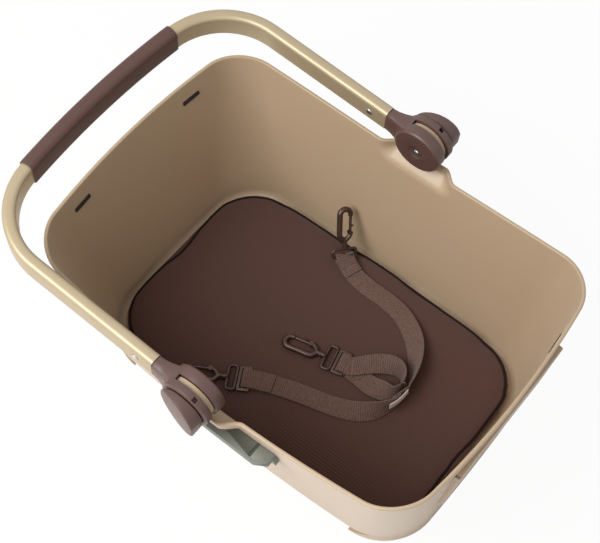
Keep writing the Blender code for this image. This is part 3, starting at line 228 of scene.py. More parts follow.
def plan(length, width, corner, end_bow, side_bow):
    """A rounded rectangle with bowed sides, close-pointed round the hinge."""
    half_l, half_w = length / 2 - end_bow, width / 2 - side_bow
    flat_l, flat_w = half_l - corner, half_w - corner
    offsets = [POCKET_HALF * share for share in POCKET_MARKS]
    offsets += [POCKET_HALF + POCKET_FADE * (i + 1) / FADE_STEPS for i in range(FADE_STEPS)]
    marks = [HINGE_X - d for d in reversed(offsets)] + [HINGE_X] + [HINGE_X + d for d in offsets]
    gaps = [(i + 1) / (GAP_STEPS + 1) for i in range(GAP_STEPS)]
    side = [lerp(-flat_l, marks[0], s) for s in gaps] + marks
    side += [lerp(marks[-1], flat_l, s) for s in gaps]
    end = [lerp(-flat_w, flat_w, (i + 1) / (END_STEPS + 1)) for i in range(END_STEPS)]
    rounds = arc(corner, 0, math.pi / 2, CORNER_STEPS)
    points = [(half_l, y) for y in end]
    points += [(flat_l + c, flat_w + s) for c, s in rounds]
    points += [(x, half_w) for x in reversed(side)]
    points += [(-flat_l - s, flat_w + c) for c, s in rounds]
    points += [(-half_l, -y) for y in end]
    points += [(-flat_l - c, -flat_w - s) for c, s in rounds]
    points += [(x, -half_w) for x in side]
    points += [(flat_l + s, -flat_w - c) for c, s in rounds]
    return [(x + math.copysign(end_bow * (1 - (y / half_w) ** 2), x),
             y + math.copysign(side_bow * (1 - (x / half_l) ** 2), y)) for x, y in points]


def floor_plan(inset):
    return plan(BASE_LENGTH - 2 * inset, BASE_WIDTH - 2 * inset, BASE_CORNER - inset,
                BASE_END_BOW, BASE_SIDE_BOW)


def rim_z(x):
    return RIM_Z - RIM_DIP * max(0.0, 1 - abs(2 * x / TUB_LENGTH) ** RIM_DIP_POWER)


def pocket(x, y, z, grow):
    """Moves a wall point outwards to the pocket's flat face near the hinge."""
    across = max(abs(x - HINGE_X) - POCKET_HALF, 0) / POCKET_FADE
    down = max(HINGE_Z - z - POCKET_DROP, 0) / POCKET_FADE_Z
    reach = min(math.hypot(across, down), 1)
    return math.copysign(lerp(abs(y), POCKET_Y + grow, 1 - reach * reach * (3 - 2 * reach)), y)


def tub_rings(grow):
    rings = []
    for i in range(FILLET_STEPS + 1):
        a = math.pi / 2 * i / FILLET_STEPS
        inset = FLOOR_FILLET - (FLOOR_FILLET + grow) * math.sin(a)
        z = FLOOR_FILLET - (FLOOR_FILLET + grow) * math.cos(a)
        rings.append([(x, y, z) for x, y in floor_plan(inset)])
    for share in WALL_SHARES:
        ring = []
        for x, y in plan(lerp(BASE_LENGTH, TUB_LENGTH, share) + 2 * grow,
                         lerp(BASE_WIDTH, TUB_WIDTH, share) + 2 * grow,
                         lerp(BASE_CORNER, TUB_CORNER, share) + grow,
                         lerp(BASE_END_BOW, TUB_END_BOW, share), lerp(BASE_SIDE_BOW, TUB_SIDE_BOW, share)):
            z = lerp(FLOOR_FILLET, rim_z(x), share)
            ring.append((x, pocket(x, y, z, grow), z))
        rings.append(ring)
    return rings


def skin(rings, bottom=True, top=True, closed=False):
    """A bmesh skin over rings of equal count, with flat ends or joined end to end."""
    made = bmesh.new()
    levels = [[made.verts.new(point) for point in ring] for ring in rings]
    pairs = list(zip(levels, levels[1:])) + ([(levels[-1], levels[0])] if closed else [])
    for low, high in pairs:
        for i in range(len(low)):
            j = (i + 1) % len(low)
            made.faces.new((low[i], low[j], high[j], high[i]))
    if bottom and not closed:
        made.faces.new(levels[0][::-1])
    if top and not closed:
        made.faces.new(levels[-1])
    return made


def outward(shape):
    """The bmesh with its faces turned outwards."""
    bmesh.ops.recalc_face_normals(shape, faces=shape.faces)
    return shape


def prism(outline, axis, low, high):
    """A flat outline (x and z for Y, y and z for X, x and y for Z) carried along an axis."""
    low, high = min(low, high), max(low, high)
    spots = {"X": lambda u, v, d: (d, u, v), "Y": lambda u, v, d: (u, d, v), "Z": lambda u, v, d: (u, v, d)}
    return outward(skin([[spots[axis](u, v, d) for u, v in outline] for d in (low, high)]))


def bmesh_of(mesh):
    shape = bmesh.new()
    shape.from_mesh(mesh)
    return shape


def shaded(made, angle=35):
    made.data.shade_smooth()
    made.data.set_sharp_from_angle(angle=math.radians(angle))
    return made


def settled(made):
    """The object with its modifiers applied: a plain mesh."""
    bpy.context.view_layer.update()
    mesh = bpy.data.meshes.new_from_object(made.evaluated_get(bpy.context.evaluated_depsgraph_get()))
    made.modifiers.clear()
    made.data = mesh
    return made


def boolean(made, tool, operation="DIFFERENCE"):
    """Cuts or joins with a bmesh, at once."""
    other = place("tool", tool)
    step = made.modifiers.new("boolean", "BOOLEAN")
    step.operation = operation
    step.solver = "EXACT"
    step.object = other
    settled(made)
    bpy.data.objects.remove(other)
    return made


def walled(made, thickness, offset=-1):
    step = made.modifiers.new("wall", "SOLIDIFY")
    step.thickness = thickness
    step.offset = offset
    return step


def bevel(made, width, segments=2, angle=40):
    step = made.modifiers.new("rounded edges", "BEVEL")
    step.width = width
    step.segments = segments
    step.limit_method = "ANGLE"
    step.angle_limit = math.radians(angle)
    return made


def finish_of(name, uv=None, **sockets):
    """A new material with values on its shader; also its tree, its shader and where its pattern reads."""
    made = bpy.data.materials.new(name)
    made.use_nodes = True
    tree = made.node_tree
    shader = tree.nodes["Principled BSDF"]
    for key, value in sockets.items():
        shader.inputs[key.replace("_", " ")].default_value = value
    if uv:
        return made, tree, shader, put(tree, "ShaderNodeUVMap", uv_map=uv).outputs[0]
    return made, tree, shader, put(tree, "ShaderNodeTexCoord").outputs["Object"]


def coated(tree, shader, share, tones, relief=None, rough=None):
    """Two tones mixed by a share, and relief and roughness, each from a source and two values."""
    dark, pale = (linear(tone) if isinstance(tone, str) else tone for tone in tones)
    tint = put(tree, "ShaderNodeMix", {0: share, 6: dark, 7: pale}, data_type="RGBA").outputs[2]
    tree.links.new(tint, shader.inputs["Base Color"])
    if relief:
        bump = put(tree, "ShaderNodeBump", dict(zip(("Height", "Strength", "Distance"), relief)))
        tree.links.new(bump.outputs[0], shader.inputs["Normal"])
    if rough:
        spread = put(tree, "ShaderNodeMapRange", dict(zip(("Value", "To Min", "To Max"), rough)))
        tree.links.new(spread.outputs[0], shader.inputs["Roughness"])


def grained(name, grain_mm, tones, rough=None, relief=None, cloud_mm=None, detail=2.0, uneven=0.5,
            **sockets):
    """A finish whose sheen and relief follow a fine noise, and its colour that or a broader one."""
    made, tree, shader, where = finish_of(name, **sockets)
    grain = put(tree, "ShaderNodeTexNoise", {
        "Vector": where, "Scale": 1000 / grain_mm, "Detail": detail, "Roughness": uneven})
    cloud = grain
    if cloud_mm:
        cloud = put(tree, "ShaderNodeTexNoise", {"Vector": where, "Scale": 1000 / cloud_mm, "Detail": 2.0})
    coated(tree, shader, cloud, tones, relief and (grain, *relief), rough and (grain, *rough))
    return made


def fitted(piece, slot, body, *nodes):
    """Hides the nodes that a piece stands for and hangs it on the body it rides on; the slot is not used."""
    if nodes:
        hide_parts(*nodes)
    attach(piece, body)


# Polypropylene from a spark-textured mould: a soft broken sheen, a fine grain, drawn coarser than it is
# so that it shows, hardly any gloss, and a faint bloom where it is seen along its face.
tub_plastic = grained("moulded polypropylene", 1.1, ("B8A083", "BFA78A"), (0.30, 0.42), (0.12, 0.0002),
                      cloud_mm=1000 / 9, detail=3.0, uneven=0.6, IOR=1.49, Sheen_Weight=0.2,
                      Sheen_Roughness=0.4)

tub = place("tub", skin(tub_rings(0.0), top=False), tub_plastic)
walled(tub, WALL).use_even_offset = True
bevel(tub, RIM_ROUND, segments=3, angle=60)
settled(tub)

end_lean = math.atan((TUB_LENGTH - BASE_LENGTH) / 2 / (RIM_Z - FLOOR_FILLET))
core = skin(tub_rings(-WALL / 2))
runners = place("runners", skin([
    [(x, y, -RUNNER_DROP) for x, y in floor_plan(RUNNER_FOOT_INSET)],
    [(x, y, RUNNER_TOP) for x, y in plan(BASE_LENGTH - SEAT_GAP, BASE_WIDTH - SEAT_GAP, BASE_CORNER,
                                         BASE_END_BOW, BASE_SIDE_BOW)]]))
slant = (RUNNER_INNER_TOP - RUNNER_INNER_FOOT) / RUNNER_DROP
low, high = -RUNNER_DROP - OVERRUN, RUNNER_TOP + OVERRUN
low_x, high_x = RUNNER_INNER_TOP + slant * low, RUNNER_INNER_TOP + slant * high
boolean(runners, prism([(-low_x, low), (low_x, low), (high_x, high), (-high_x, high)], "Y",
                       -BASE_WIDTH, BASE_WIDTH))
boolean(runners, core.copy())
middle_z = (PAD_LOW + PAD_HIGH) / 2
middle_x = lerp(BASE_LENGTH, TUB_LENGTH, risen(middle_z)) / 2
pad = place("pad", prism(rounded_rectangle(PAD_WIDTH, (PAD_HIGH - PAD_LOW) / math.cos(end_lean), PAD_CORNER),
                         "X", -PAD_BACK, PAD_PROUD))
pad.data.transform(Matrix.Translation((middle_x, 0, middle_z)) @ Matrix.Rotation(end_lean, 4, "Y"))
settled(bevel(pad, RIM_ROUND, segments=3))
boolean(pad, core)
for addition in (runners, pad):
    boolean(tub, bmesh_of(addition.data), "UNION")
    bpy.data.objects.remove(addition)

# The ear lies deep between the fork's discs, 1.8 mm inside the edge that its solid has.
foot_x = EAR_RADIUS * math.cos(EAR_FOOT_ANGLE)
ear = arc(EAR_RADIUS, -EAR_FOOT_ANGLE, math.pi + EAR_FOOT_ANGLE, ARC_STEPS)
ear = [(HINGE_X + x, HINGE_Z + z) for x, z in ear + [(-foot_x, -EAR_FOOT_DROP), (foot_x, -EAR_FOOT_DROP)]]
start, end = -HANDLE_TILT, -math.pi + HANDLE_TILT
groove = arc(GROOVE_PATH_RADIUS + GROOVE_HALF, end, start, ARC_STEPS)
first, last = (arc(GROOVE_PATH_RADIUS, turn, turn, 1)[0] for turn in (start, end))
groove += arc(GROOVE_HALF, start, start + math.pi, GROOVE_END_STEPS, first)[1:-1]
groove += arc(GROOVE_PATH_RADIUS - GROOVE_HALF, start, end, ARC_STEPS)
groove += arc(GROOVE_HALF, end + math.pi, end + 2 * math.pi, GROOVE_END_STEPS, last)[1:-1]
groove = [(HINGE_X + x, HINGE_Z + z) for x, z in groove]
bore = circle(BUSH_BORE, ARC_STEPS, (HINGE_X, HINGE_Z))
for side in (1, -1):
    past = side * (EAR_OUTER_Y + OVERRUN)
    boolean(tub, prism(ear, "Y", side * EAR_INNER_Y, side * EAR_OUTER_Y), "UNION")
    boolean(tub, prism(groove, "Y", side * (EAR_OUTER_Y - GROOVE_DEPTH), past))
    boolean(tub, prism(bore, "Y", side * (EAR_INNER_Y - OVERRUN), past))
slot_x = lerp(BASE_LENGTH, TUB_LENGTH, risen(SLOT_Z)) / 2


def slot_outline(side, grow=0.0):
    return [(side * SLOT_Y + y, SLOT_Z + z) for y, z in rounded_rectangle(
        SLOT_LENGTH + 2 * grow, SLOT_HEIGHT + 2 * grow, SLOT_CORNER + min(grow, 0))]


for end_sign in (1, -1):
    for side in (1, -1):
        boolean(tub, prism(slot_outline(side), "X", end_sign * (slot_x - SLOT_CUT),
                           end_sign * (slot_x + SLOT_CUT)))
shaded(tub)
fitted(tub, "tub_plastic", "tub", "tub_shell")

# A near-black, dull lining with a faint grain, drawn coarser than it is so that it shows. It lines the
# slots in both end walls and paints the shade inside them.
slot_shade_rubber = grained("near black lining for painted slot shade", 0.8, ("231C19", "332A26"), relief=(0.1, 0.0002),
                       Roughness=0.6, IOR=1.5)
LINER_WALL, LINER_LIP, LINER_PROUD, LINER_FREE = 0.0005, 0.0008, 0.0007, 0.0001


def end_wall_x(y, z):
    """How far out the end wall's outer face stands at a height and a place across it."""
    share = risen(z)
    half_w = lerp(BASE_WIDTH, TUB_WIDTH, share) / 2 - lerp(BASE_SIDE_BOW, TUB_SIDE_BOW, share)
    bow = lerp(BASE_END_BOW, TUB_END_BOW, share)
    return lerp(BASE_LENGTH, TUB_LENGTH, share) / 2 - bow * (y / half_w) ** 2


for end_sign, end in ((1, "_right"), (-1, "_left")):
    for side, word in ((1, "far"), (-1, "near")):
        rings = []
        for depth, grow in ((WALL + LINER_PROUD, -LINER_WALL), (WALL + LINER_PROUD, LINER_LIP),
                            (WALL + LINER_FREE, LINER_LIP), (WALL + LINER_FREE, -LINER_FREE),
                            (0.0, -LINER_FREE), (0.0, -LINER_WALL)):
            rings.append([(end_sign * (end_wall_x(y, z) - depth), y, z) for y, z in slot_outline(side, grow)])
        # Each liner is a dark sheet that paints the shade inside a slot.
        liner = place(word + end + "_slot_shade_liner", outward(skin(rings, closed=True)), slot_shade_rubber)
        fitted(shaded(liner, 40), "hinge_plastic", "tub")

# Bracket
# A ledge of grey-green nylon that hooks the basket to its carrier, moulded as a channel with a solid
# end block and riveted to the near wall.

MERGE_WITHIN, FLAT_WITHIN = 0.000003, math.radians(0.6)
BRACKET_EDGE = 0.0006


def refined(node, surface, edge):
    """A copy of a CAD piece with its triangles merged and its edges finely rounded."""
    shape = bmesh_of(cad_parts[node].data)
    bmesh.ops.remove_doubles(shape, verts=shape.verts, dist=MERGE_WITHIN)
    bmesh.ops.dissolve_limit(shape, angle_limit=FLAT_WITHIN, verts=shape.verts, edges=shape.edges)
    made = place(node + "_fine", shape)
    settled(bevel(made, edge))
    made.data.materials.clear()
    made.data.materials.append(surface)
    return shaded(made, 32)


# Glass-filled nylon: dull, with a slightly uneven dark skin and painted highlights that make its edges
# paler. The skin's grain is drawn coarser than it is, so that it shows.
SKIN_MM = 0.9
bracket_plastic, tree, shader, where = finish_of("grey green nylon", Roughness=0.5, IOR=1.53)
grain = put(tree, "ShaderNodeTexNoise", {"Vector": where, "Scale": 1000 / SKIN_MM, "Detail": 3.0})
edges = put(tree, "ShaderNodeNewGeometry").outputs["Pointiness"]
# Painted highlight: the skin turns paler where its edges are sharp.
edge_highlight = put(tree, "ShaderNodeMapRange", {"Value": edges, "From Min": 0.52, "From Max": 0.62})
coated(tree, shader, edge_highlight, ("4F524A", "92958B"), (grain, 0.15, 0.0002))
fitted(refined("side_bracket", bracket_plastic, BRACKET_EDGE), "bracket_plastic", "tub", "side_bracket")

# Cushion
# A thin pad of foam in a brown ribbed polyester cover that fills the tub's floor. It is cut a little
# small and swells against its seam, so the edge is round and the top slightly crowned.

CUSHION_LENGTH, CUSHION_WIDTH, CUSHION_CORNER = 0.383, 0.243, 0.048
CUSHION_LOW, CUSHION_EDGE_Z, CUSHION_CROWN, CUSHION_DRAW = 0.0039, 0.0168, 0.0045, 0.0060
CUSHION_SIDE = ((1.0, 0.0), (0.45, 0.12), (0.1, 0.32), (0.0, 0.55), (0.12, 0.8), (0.45, 0.95))
CUSHION_CROWN_RINGS = (0.93, 0.8, 0.6, 0.3)
CUSHION_VOXEL, CUSHION_CAP, CUSHION_STAND = 0.005, 0.0030, 0.0002
SWELL_PRESSURE, SWELL_STIFFNESS, SWELL_FRAMES = 4.0, 20, 20


def cushion_plan(inset=0.0):
    return plan(CUSHION_LENGTH - 2 * inset, CUSHION_WIDTH - 2 * inset, CUSHION_CORNER - inset,
                BASE_END_BOW, BASE_SIDE_BOW)


rings = []
for draw, rise in CUSHION_SIDE:
    z = lerp(CUSHION_LOW, CUSHION_EDGE_Z, rise)
    rings.append([(x, y, z) for x, y in cushion_plan(CUSHION_DRAW * draw)])
for size in CUSHION_CROWN_RINGS:
    z = CUSHION_EDGE_Z + CUSHION_CROWN * (1 - size * size)
    rings.append([(x * size, y * size, z) for x, y in cushion_plan()])


def bands(millimetres):
    """The scale of a wave texture whose bands are this far apart."""
    return 2 * math.pi * 1000 / 20 / millimetres


# Ribbed polyester: dull, with painted light on the rib crowns, painted shade in the valleys and a slight
# fibre sheen. The fibre is drawn coarser than it is, so that it shows.
RIB_MM, FIBRE_MM, PATCH_MM = 3.0, 1.4, 1000 / 14
cushion_cloth, tree, shader, where = finish_of(
    "ribbed polyester", Roughness=0.9, Sheen_Weight=0.25, Sheen_Roughness=0.5, Specular_IOR_Level=0.25)
ribs = put(tree, "ShaderNodeTexWave", {
    "Vector": where, "Scale": bands(RIB_MM), "Distortion": 0.15, "Detail": 1.0, "Detail Scale": 2.0},
    bands_direction="Y").outputs["Fac"]
fibre = put(tree, "ShaderNodeTexNoise", {"Vector": where, "Scale": 1000 / FIBRE_MM, "Detail": 4.0})
patch = put(tree, "ShaderNodeTexNoise", {"Vector": where, "Scale": 1000 / PATCH_MM, "Detail": 2.0})
# Painted light and shade: the rib tint is paler on the crowns and darker in the valleys.
tint = put(tree, "ShaderNodeMix", {0: ribs, 6: linear("4C352F"), 7: linear("583D36")}, data_type="RGBA")
height = put(tree, "ShaderNodeMath", {0: fibre, 1: 0.35, 2: ribs}, operation="MULTIPLY_ADD")
coated(tree, shader, patch, (tint.outputs[2], "533932"), (height, 0.35, 0.0004))

cushion = place("floor_cushion", skin(rings), cushion_cloth)
remesh = cushion.modifiers.new("even mesh", "REMESH")
remesh.mode = "VOXEL"
remesh.voxel_size = CUSHION_VOXEL
settled(cushion)
begun = [v.co.copy() for v in cushion.data.vertices]
cloth = cushion.modifiers.new("swell", "CLOTH")
cloth.settings.use_pressure = True
cloth.settings.uniform_pressure_force = SWELL_PRESSURE
cloth.settings.effector_weights.gravity = 0.0
cloth.settings.tension_stiffness = SWELL_STIFFNESS
for number in range(1, SWELL_FRAMES + 1):
    bpy.context.scene.frame_set(number)
settled(cushion)
bpy.context.scene.frame_set(1)
solid = BVHTree.FromObject(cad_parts["cushion"], bpy.context.evaluated_depsgraph_get())
for vertex, old in zip(cushion.data.vertices, begun):
    move = vertex.co - old
    if move.length > CUSHION_CAP:
        vertex.co = old + move.normalized() * CUSHION_CAP
    vertex.co.z = max(vertex.co.z, CUSHION_LOW)
    top = solid.ray_cast(Vector((vertex.co.x, vertex.co.y, 1.0)), Vector((0, 0, -1)))[0]
    if top:
        vertex.co.z = min(vertex.co.z, top.z + CUSHION_STAND)
finer = cushion.modifiers.new("finer", "SUBSURF")
finer.levels = 1
finer.render_levels = 1
settled(cushion)
cushion.data.materials.clear()
cushion.data.materials.append(cushion_cloth)
cushion.data.shade_smooth()
fitted(cushion, "cushion_fabric", "tub", "cushion")


def grown(made, tree, values):
    """Turns a piece into the plain mesh that a Geometry Nodes tree makes of it, its inputs set."""
    step = made.modifiers.new("grown", "NODES")
    step.node_group = tree
    for item in tree.interface.items_tree:
        if item.in_out == "INPUT" and item.name in values:
            step[item.identifier] = values[item.name]
    return settled(made)


def growing(name, sizes):
    """A Geometry Nodes tree with a mesh, named sizes and a material in; also its inputs."""
    tree = bpy.data.node_groups.new(name, "GeometryNodeTree")
    sockets = [("Start", "Geometry")] + [(size, "Float") for size in sizes] + [("Material", "Material")]
    for label, kind in sockets:
        tree.interface.new_socket(label, in_out="INPUT", socket_type="NodeSocket" + kind)
    tree.interface.new_socket("Result", in_out="OUTPUT", socket_type="NodeSocketGeometry")
    return tree, put(tree, "NodeGroupInput").outputs


def ended(tree, given, last):
    """Ends a tree: its last geometry smooth, made real, in its material."""
    smooth = put(tree, "GeometryNodeSetShadeSmooth", {0: last})
    real = put(tree, "GeometryNodeRealizeInstances", {0: smooth})
    done = put(tree, "GeometryNodeSetMaterial", {0: real, "Material": given["Material"]})
    put(tree, "NodeGroupOutput", {0: done})
    return tree


def welt_tree():
    """A closed row of edges in, a round cord of cloth along it out."""
    tree, given = growing("welt", ["Welt radius"])
    row = put(tree, "GeometryNodeMeshToCurve", {"Mesh": given["Start"]})
    form = put(tree, "GeometryNodeCurvePrimitiveCircle", {"Resolution": 12, "Radius": given["Welt radius"]})
    return ended(tree, given, put(tree, "GeometryNodeCurveToMesh", {"Curve": row, "Profile Curve": form}))


def path_mesh(rows):
    """Rows of joined points, as a mesh of edges."""
    shape = bmesh.new()
    for row in rows:
        spots = [shape.verts.new(point) for point in row]
        for a, b in zip(spots, spots[1:]):
            shape.edges.new((a, b))
    return shape


# Welt cloth: a near-black brown, darker than the cover, with hardly any sheen. It paints the shade in the
# gap round the cushion's edge. Its threads are drawn as a grain coarser than they are, so that they show.
welt_shade_cloth = grained("near black welt for painted edge shade", 1.2, ("1C110E", "2E1F1A"), relief=(0.3, 0.0003), detail=3.0,
                  Roughness=0.95, Specular_IOR_Level=0.15)
WELT_RADIUS, WELT_Z, WELT_SINK, WELT_SEARCH = 0.0013, 0.0166, 0.0002, 0.02
pad_surface = BVHTree.FromObject(cushion, bpy.context.evaluated_depsgraph_get())
seam = []
for x, y in cushion_plan():
    inwards = Vector((-x / CUSHION_LENGTH ** 2, -y / CUSHION_WIDTH ** 2, 0)).normalized()
    found = pad_surface.ray_cast(Vector((x, y, WELT_Z)) - inwards * WELT_SEARCH, inwards)[0]
    seam.append(found - inwards * (WELT_RADIUS - WELT_SINK))
shape = path_mesh([seam])
shape.verts.ensure_lookup_table()
shape.edges.new((shape.verts[-1], shape.verts[0]))
# The welt is a near-black cord round the cushion's top edge that paints the shade where it meets the wall.
welt = grown(place("cushion_shade_welt", shape), welt_tree(), {"Welt radius": WELT_RADIUS, "Material": welt_shade_cloth})
fitted(welt, "cushion_fabric", "tub")

# Handle
# An oval aluminium tube, bent twice and arched across, then anodised champagne. A brown rubber sleeve
# is pushed over the cross-bar.

ARM_Y, TUBE_START = 0.1645, 0.042
TUBE_THICK, TUBE_HIGH, TUBE_CORNER, TUBE_WALL = 0.013, 0.027, 0.0046, 0.0015
CROSSBAR_REACH, CROSSBAR_ARCH, BEND_RADIUS = 0.263, 0.95, 0.073
BEND_STEPS, CROSSBAR_STEPS = 28, 56
GRIP_WALL, GRIP_EDGE = 0.0013, 0.0005
handle_place = Matrix.Translation((HINGE_X, 0, HINGE_Z)) @ Matrix.Rotation(HANDLE_TILT, 4, "Y")


def sweep(points, section):
    """A section of (inwards, up) points carried along a level path, mitred at its corners."""
    places = [Vector(point) for point in points]
    rings = []
    for i, here in enumerate(places):
        come = (here - places[max(i - 1, 0)]).normalized()
        go = (places[min(i + 1, len(places) - 1)] - here).normalized()
        way = (come + go).normalized()
        stretch = 1 / max(way.dot(come), way.dot(go))
        rings.append([(here.x - way.y * u * stretch, here.y + way.x * u * stretch, v) for u, v in section])
    return skin(rings, False, False)


# Anodised aluminium: a satin metal coat, drawn lengthways, warm and slightly uneven. The drawing marks
# are coarser than they are, so that they show.
DRAWN_LONG_MM, DRAWN_MM, TUBE_CLOUD_MM = 25, 10 / 9, 100 / 3
tube_aluminium, tree, shader, where = finish_of("champagne anodised aluminium", Metallic=0.35)
stretched = put(tree, "ShaderNodeMapping", {
    "Vector": where, "Scale": (1000 / DRAWN_LONG_MM, 1000 / DRAWN_LONG_MM, 1000 / DRAWN_MM)})
drawn = put(tree, "ShaderNodeTexNoise", {"Vector": stretched, "Scale": 1.0, "Detail": 3.0})
cloud = put(tree, "ShaderNodeTexNoise", {"Vector": where, "Scale": 1000 / TUBE_CLOUD_MM})
coated(tree, shader, cloud, ("B4A283", "BBAA8C"), (drawn, 0.08, 0.0001), (drawn, 0.34, 0.46))

centre_x = CROSSBAR_ARCH - CROSSBAR_REACH
bend_y = ARM_Y - BEND_RADIUS
bend_x = centre_x - math.sqrt((CROSSBAR_ARCH - BEND_RADIUS) ** 2 - bend_y ** 2)
meet = math.atan2(bend_y, bend_x - centre_x)
crossbar = arc(CROSSBAR_ARCH, meet, 2 * math.pi - meet, CROSSBAR_STEPS, (centre_x, 0.0))
far_half = [(-TUBE_START, ARM_Y)] + arc(BEND_RADIUS, math.pi / 2, meet, BEND_STEPS, (bend_x, bend_y))
tube = place("handle_bar", sweep(far_half + crossbar[1:-1] + [(x, -y) for x, y in reversed(far_half)],
                                 rounded_rectangle(TUBE_THICK, TUBE_HIGH, TUBE_CORNER)), tube_aluminium)
tube.data.transform(handle_place)
walled(tube, TUBE_WALL)
fitted(shaded(settled(tube)), "tube_aluminium", "handle", "handle_tube")

# Moulded rubber: dark, dull and faintly pebbled, with a broad soft sheen. The pebbles are drawn coarser
# than they are, so that they show.
PEBBLE_MM, WORN_MM = 1.3, 1000 / 35
grip_rubber, tree, shader, where = finish_of("brown moulded rubber", Roughness=0.55, IOR=1.5)
pebble = put(tree, "ShaderNodeTexVoronoi", {"Vector": where, "Scale": 1000 / PEBBLE_MM})
patch = put(tree, "ShaderNodeTexNoise", {"Vector": where, "Scale": 1000 / WORN_MM, "Detail": 3.0})
coated(tree, shader, patch, ("4E342E", "5C3F37"), (pebble, 0.25, 0.0002))

grip = place("grip_sleeve", sweep(crossbar, rounded_rectangle(
    TUBE_THICK + 2 * SEAT_GAP, TUBE_HIGH + 2 * SEAT_GAP, TUBE_CORNER + SEAT_GAP)), grip_rubber)
grip.data.transform(handle_place)
walled(grip, GRIP_WALL, 1)
fitted(shaded(settled(bevel(grip, GRIP_EDGE, angle=60))), "grip_rubber", "handle", "handle_grip")

# Hinges
# Each arm ends in a fork of brown glass-filled nylon that straddles the tub's ear, with a release lever
# on its outer disc. A steel bolt, its nut, a pin, a spring and a plunger work inside.

# Glass-filled nylon: smooth from a polished mould, with a warm sheen on every rounded edge and a faint
# grain, drawn coarser than it is so that it shows.
hinge_nylon = grained("brown glass filled nylon", 1.0, ("573F3A", "614740"), (0.32, 0.46), (0.08, 0.0002),
                      cloud_mm=1000 / 60, IOR=1.53)

# Zinc plated steel: bright, cool and finely turned.
steel = grained("zinc plated steel", 1 / 1.8, ("BFC0C4", "D4D4D6"), (0.2, 0.42), Metallic=1.0)

# Acetal: milky white, waxy and smooth.
acetal = grained("white acetal", 2.5, ("E2DED6", "EBE8E0"), (0.35, 0.5), IOR=1.48)

FORK_EDGE, LEVER_EDGE = 0.0006, 0.0005
for side in ("far", "near"):
    for node, edge, body in (("_hinge_fork", FORK_EDGE, "handle"),
                             ("_release_lever", LEVER_EDGE, side + "_lever")):
        fitted(refined(side + node, hinge_nylon, edge), "hinge_plastic", body, side + node)
    for name in ("pivot_bolt", "pivot_nut", "lever_pin", "lever_spring", "lock_plunger"):
        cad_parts[side + "_" + name].material_slots[0].material = steel
    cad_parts[side + "_pivot_bush"].material_slots[0].material = acetal

RIVET_RADIUS, RIVET_HEAD_RADIUS, RIVET_HEAD_HIGH = 0.0020, 0.0036, 0.0012
SIDE_LEAN = math.atan((TUB_WIDTH - BASE_WIDTH) / 2 / (RIM_Z - RIM_DIP - FLOOR_FILLET))


def rivet_tree():
    """Points with an outward way in, domed heads on their half shanks out."""
    tree, given = growing("rivet heads", ["Head radius", "Head height", "Shank radius", "Half grip"])
    ball = put(tree, "GeometryNodeMeshUVSphere", {"Segments": 32, "Rings": 16, "Radius": 1.0})
    flat = put(tree, "ShaderNodeCombineXYZ", {
        "X": given["Head radius"], "Y": given["Head radius"], "Z": given["Head height"]})
    dome = put(tree, "GeometryNodeTransform", {"Geometry": ball, "Scale": flat})
    pin = put(tree, "GeometryNodeMeshCylinder", {
        "Vertices": 24, "Radius": given["Shank radius"], "Depth": given["Half grip"]})
    down = put(tree, "ShaderNodeMath", {0: given["Half grip"], 1: -0.5}, operation="MULTIPLY")
    below = put(tree, "ShaderNodeCombineXYZ", {"Z": down})
    shank = put(tree, "GeometryNodeTransform", {"Geometry": pin, "Translation": below})
    both = put(tree, "GeometryNodeJoinGeometry")
    for part in (dome, shank):
        tree.links.new(part.outputs[0], both.inputs[0])
    seats = put(tree, "GeometryNodeMeshToPoints", {"Mesh": given["Start"]})
    way = put(tree, "GeometryNodeInputNamedAttribute", {"Name": "way"}, data_type="FLOAT_VECTOR")
    turned = put(tree, "FunctionNodeAlignRotationToVector", {"Vector": way}, axis="Z")
    return ended(tree, given, put(tree, "GeometryNodeInstanceOnPoints", {
        "Points": seats, "Instance": both, "Rotation": turned}))


riveting = rivet_tree()
across = Vector((0, math.cos(SIDE_LEAN), math.sin(SIDE_LEAN)))
for name, nodes, axis, body in (
        ("arm_rivets", ("far_arm_rivet", "near_arm_rivet"), Vector((0, 1, 0)), "handle"),
        ("bracket_rivets", ("bracket_rivet_1", "bracket_rivet_2"), across, "tub")):
    seats, ways = bmesh.new(), []
    for node in nodes:
        low, high = (Vector(corner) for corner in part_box(node))
        middle = (low + high) / 2
        half = max((vertex.co - middle).dot(axis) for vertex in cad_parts[node].data.vertices)
        for way in (axis, -axis):
            seats.verts.new(middle + way * (half - RIVET_HEAD_HIGH))
            ways += way[:]
    made = place(name, seats)
    made.data.attributes.new("way", "FLOAT_VECTOR", "POINT").data.foreach_set("vector", ways)
    grown(made, riveting, {
        "Head radius": RIVET_HEAD_RADIUS, "Head height": RIVET_HEAD_HIGH, "Shank radius": RIVET_RADIUS,
        "Half grip": half - RIVET_HEAD_HIGH, "Material": steel})
    fitted(made, "fastener_steel", body, *nodes)

# Lead
# Three legs of brown polyester webbing, 20 mm wide, sewn together under a folded tag. Two legs turn
# round a slider or an adjuster, and each ends in a bronze-plated snap hook.

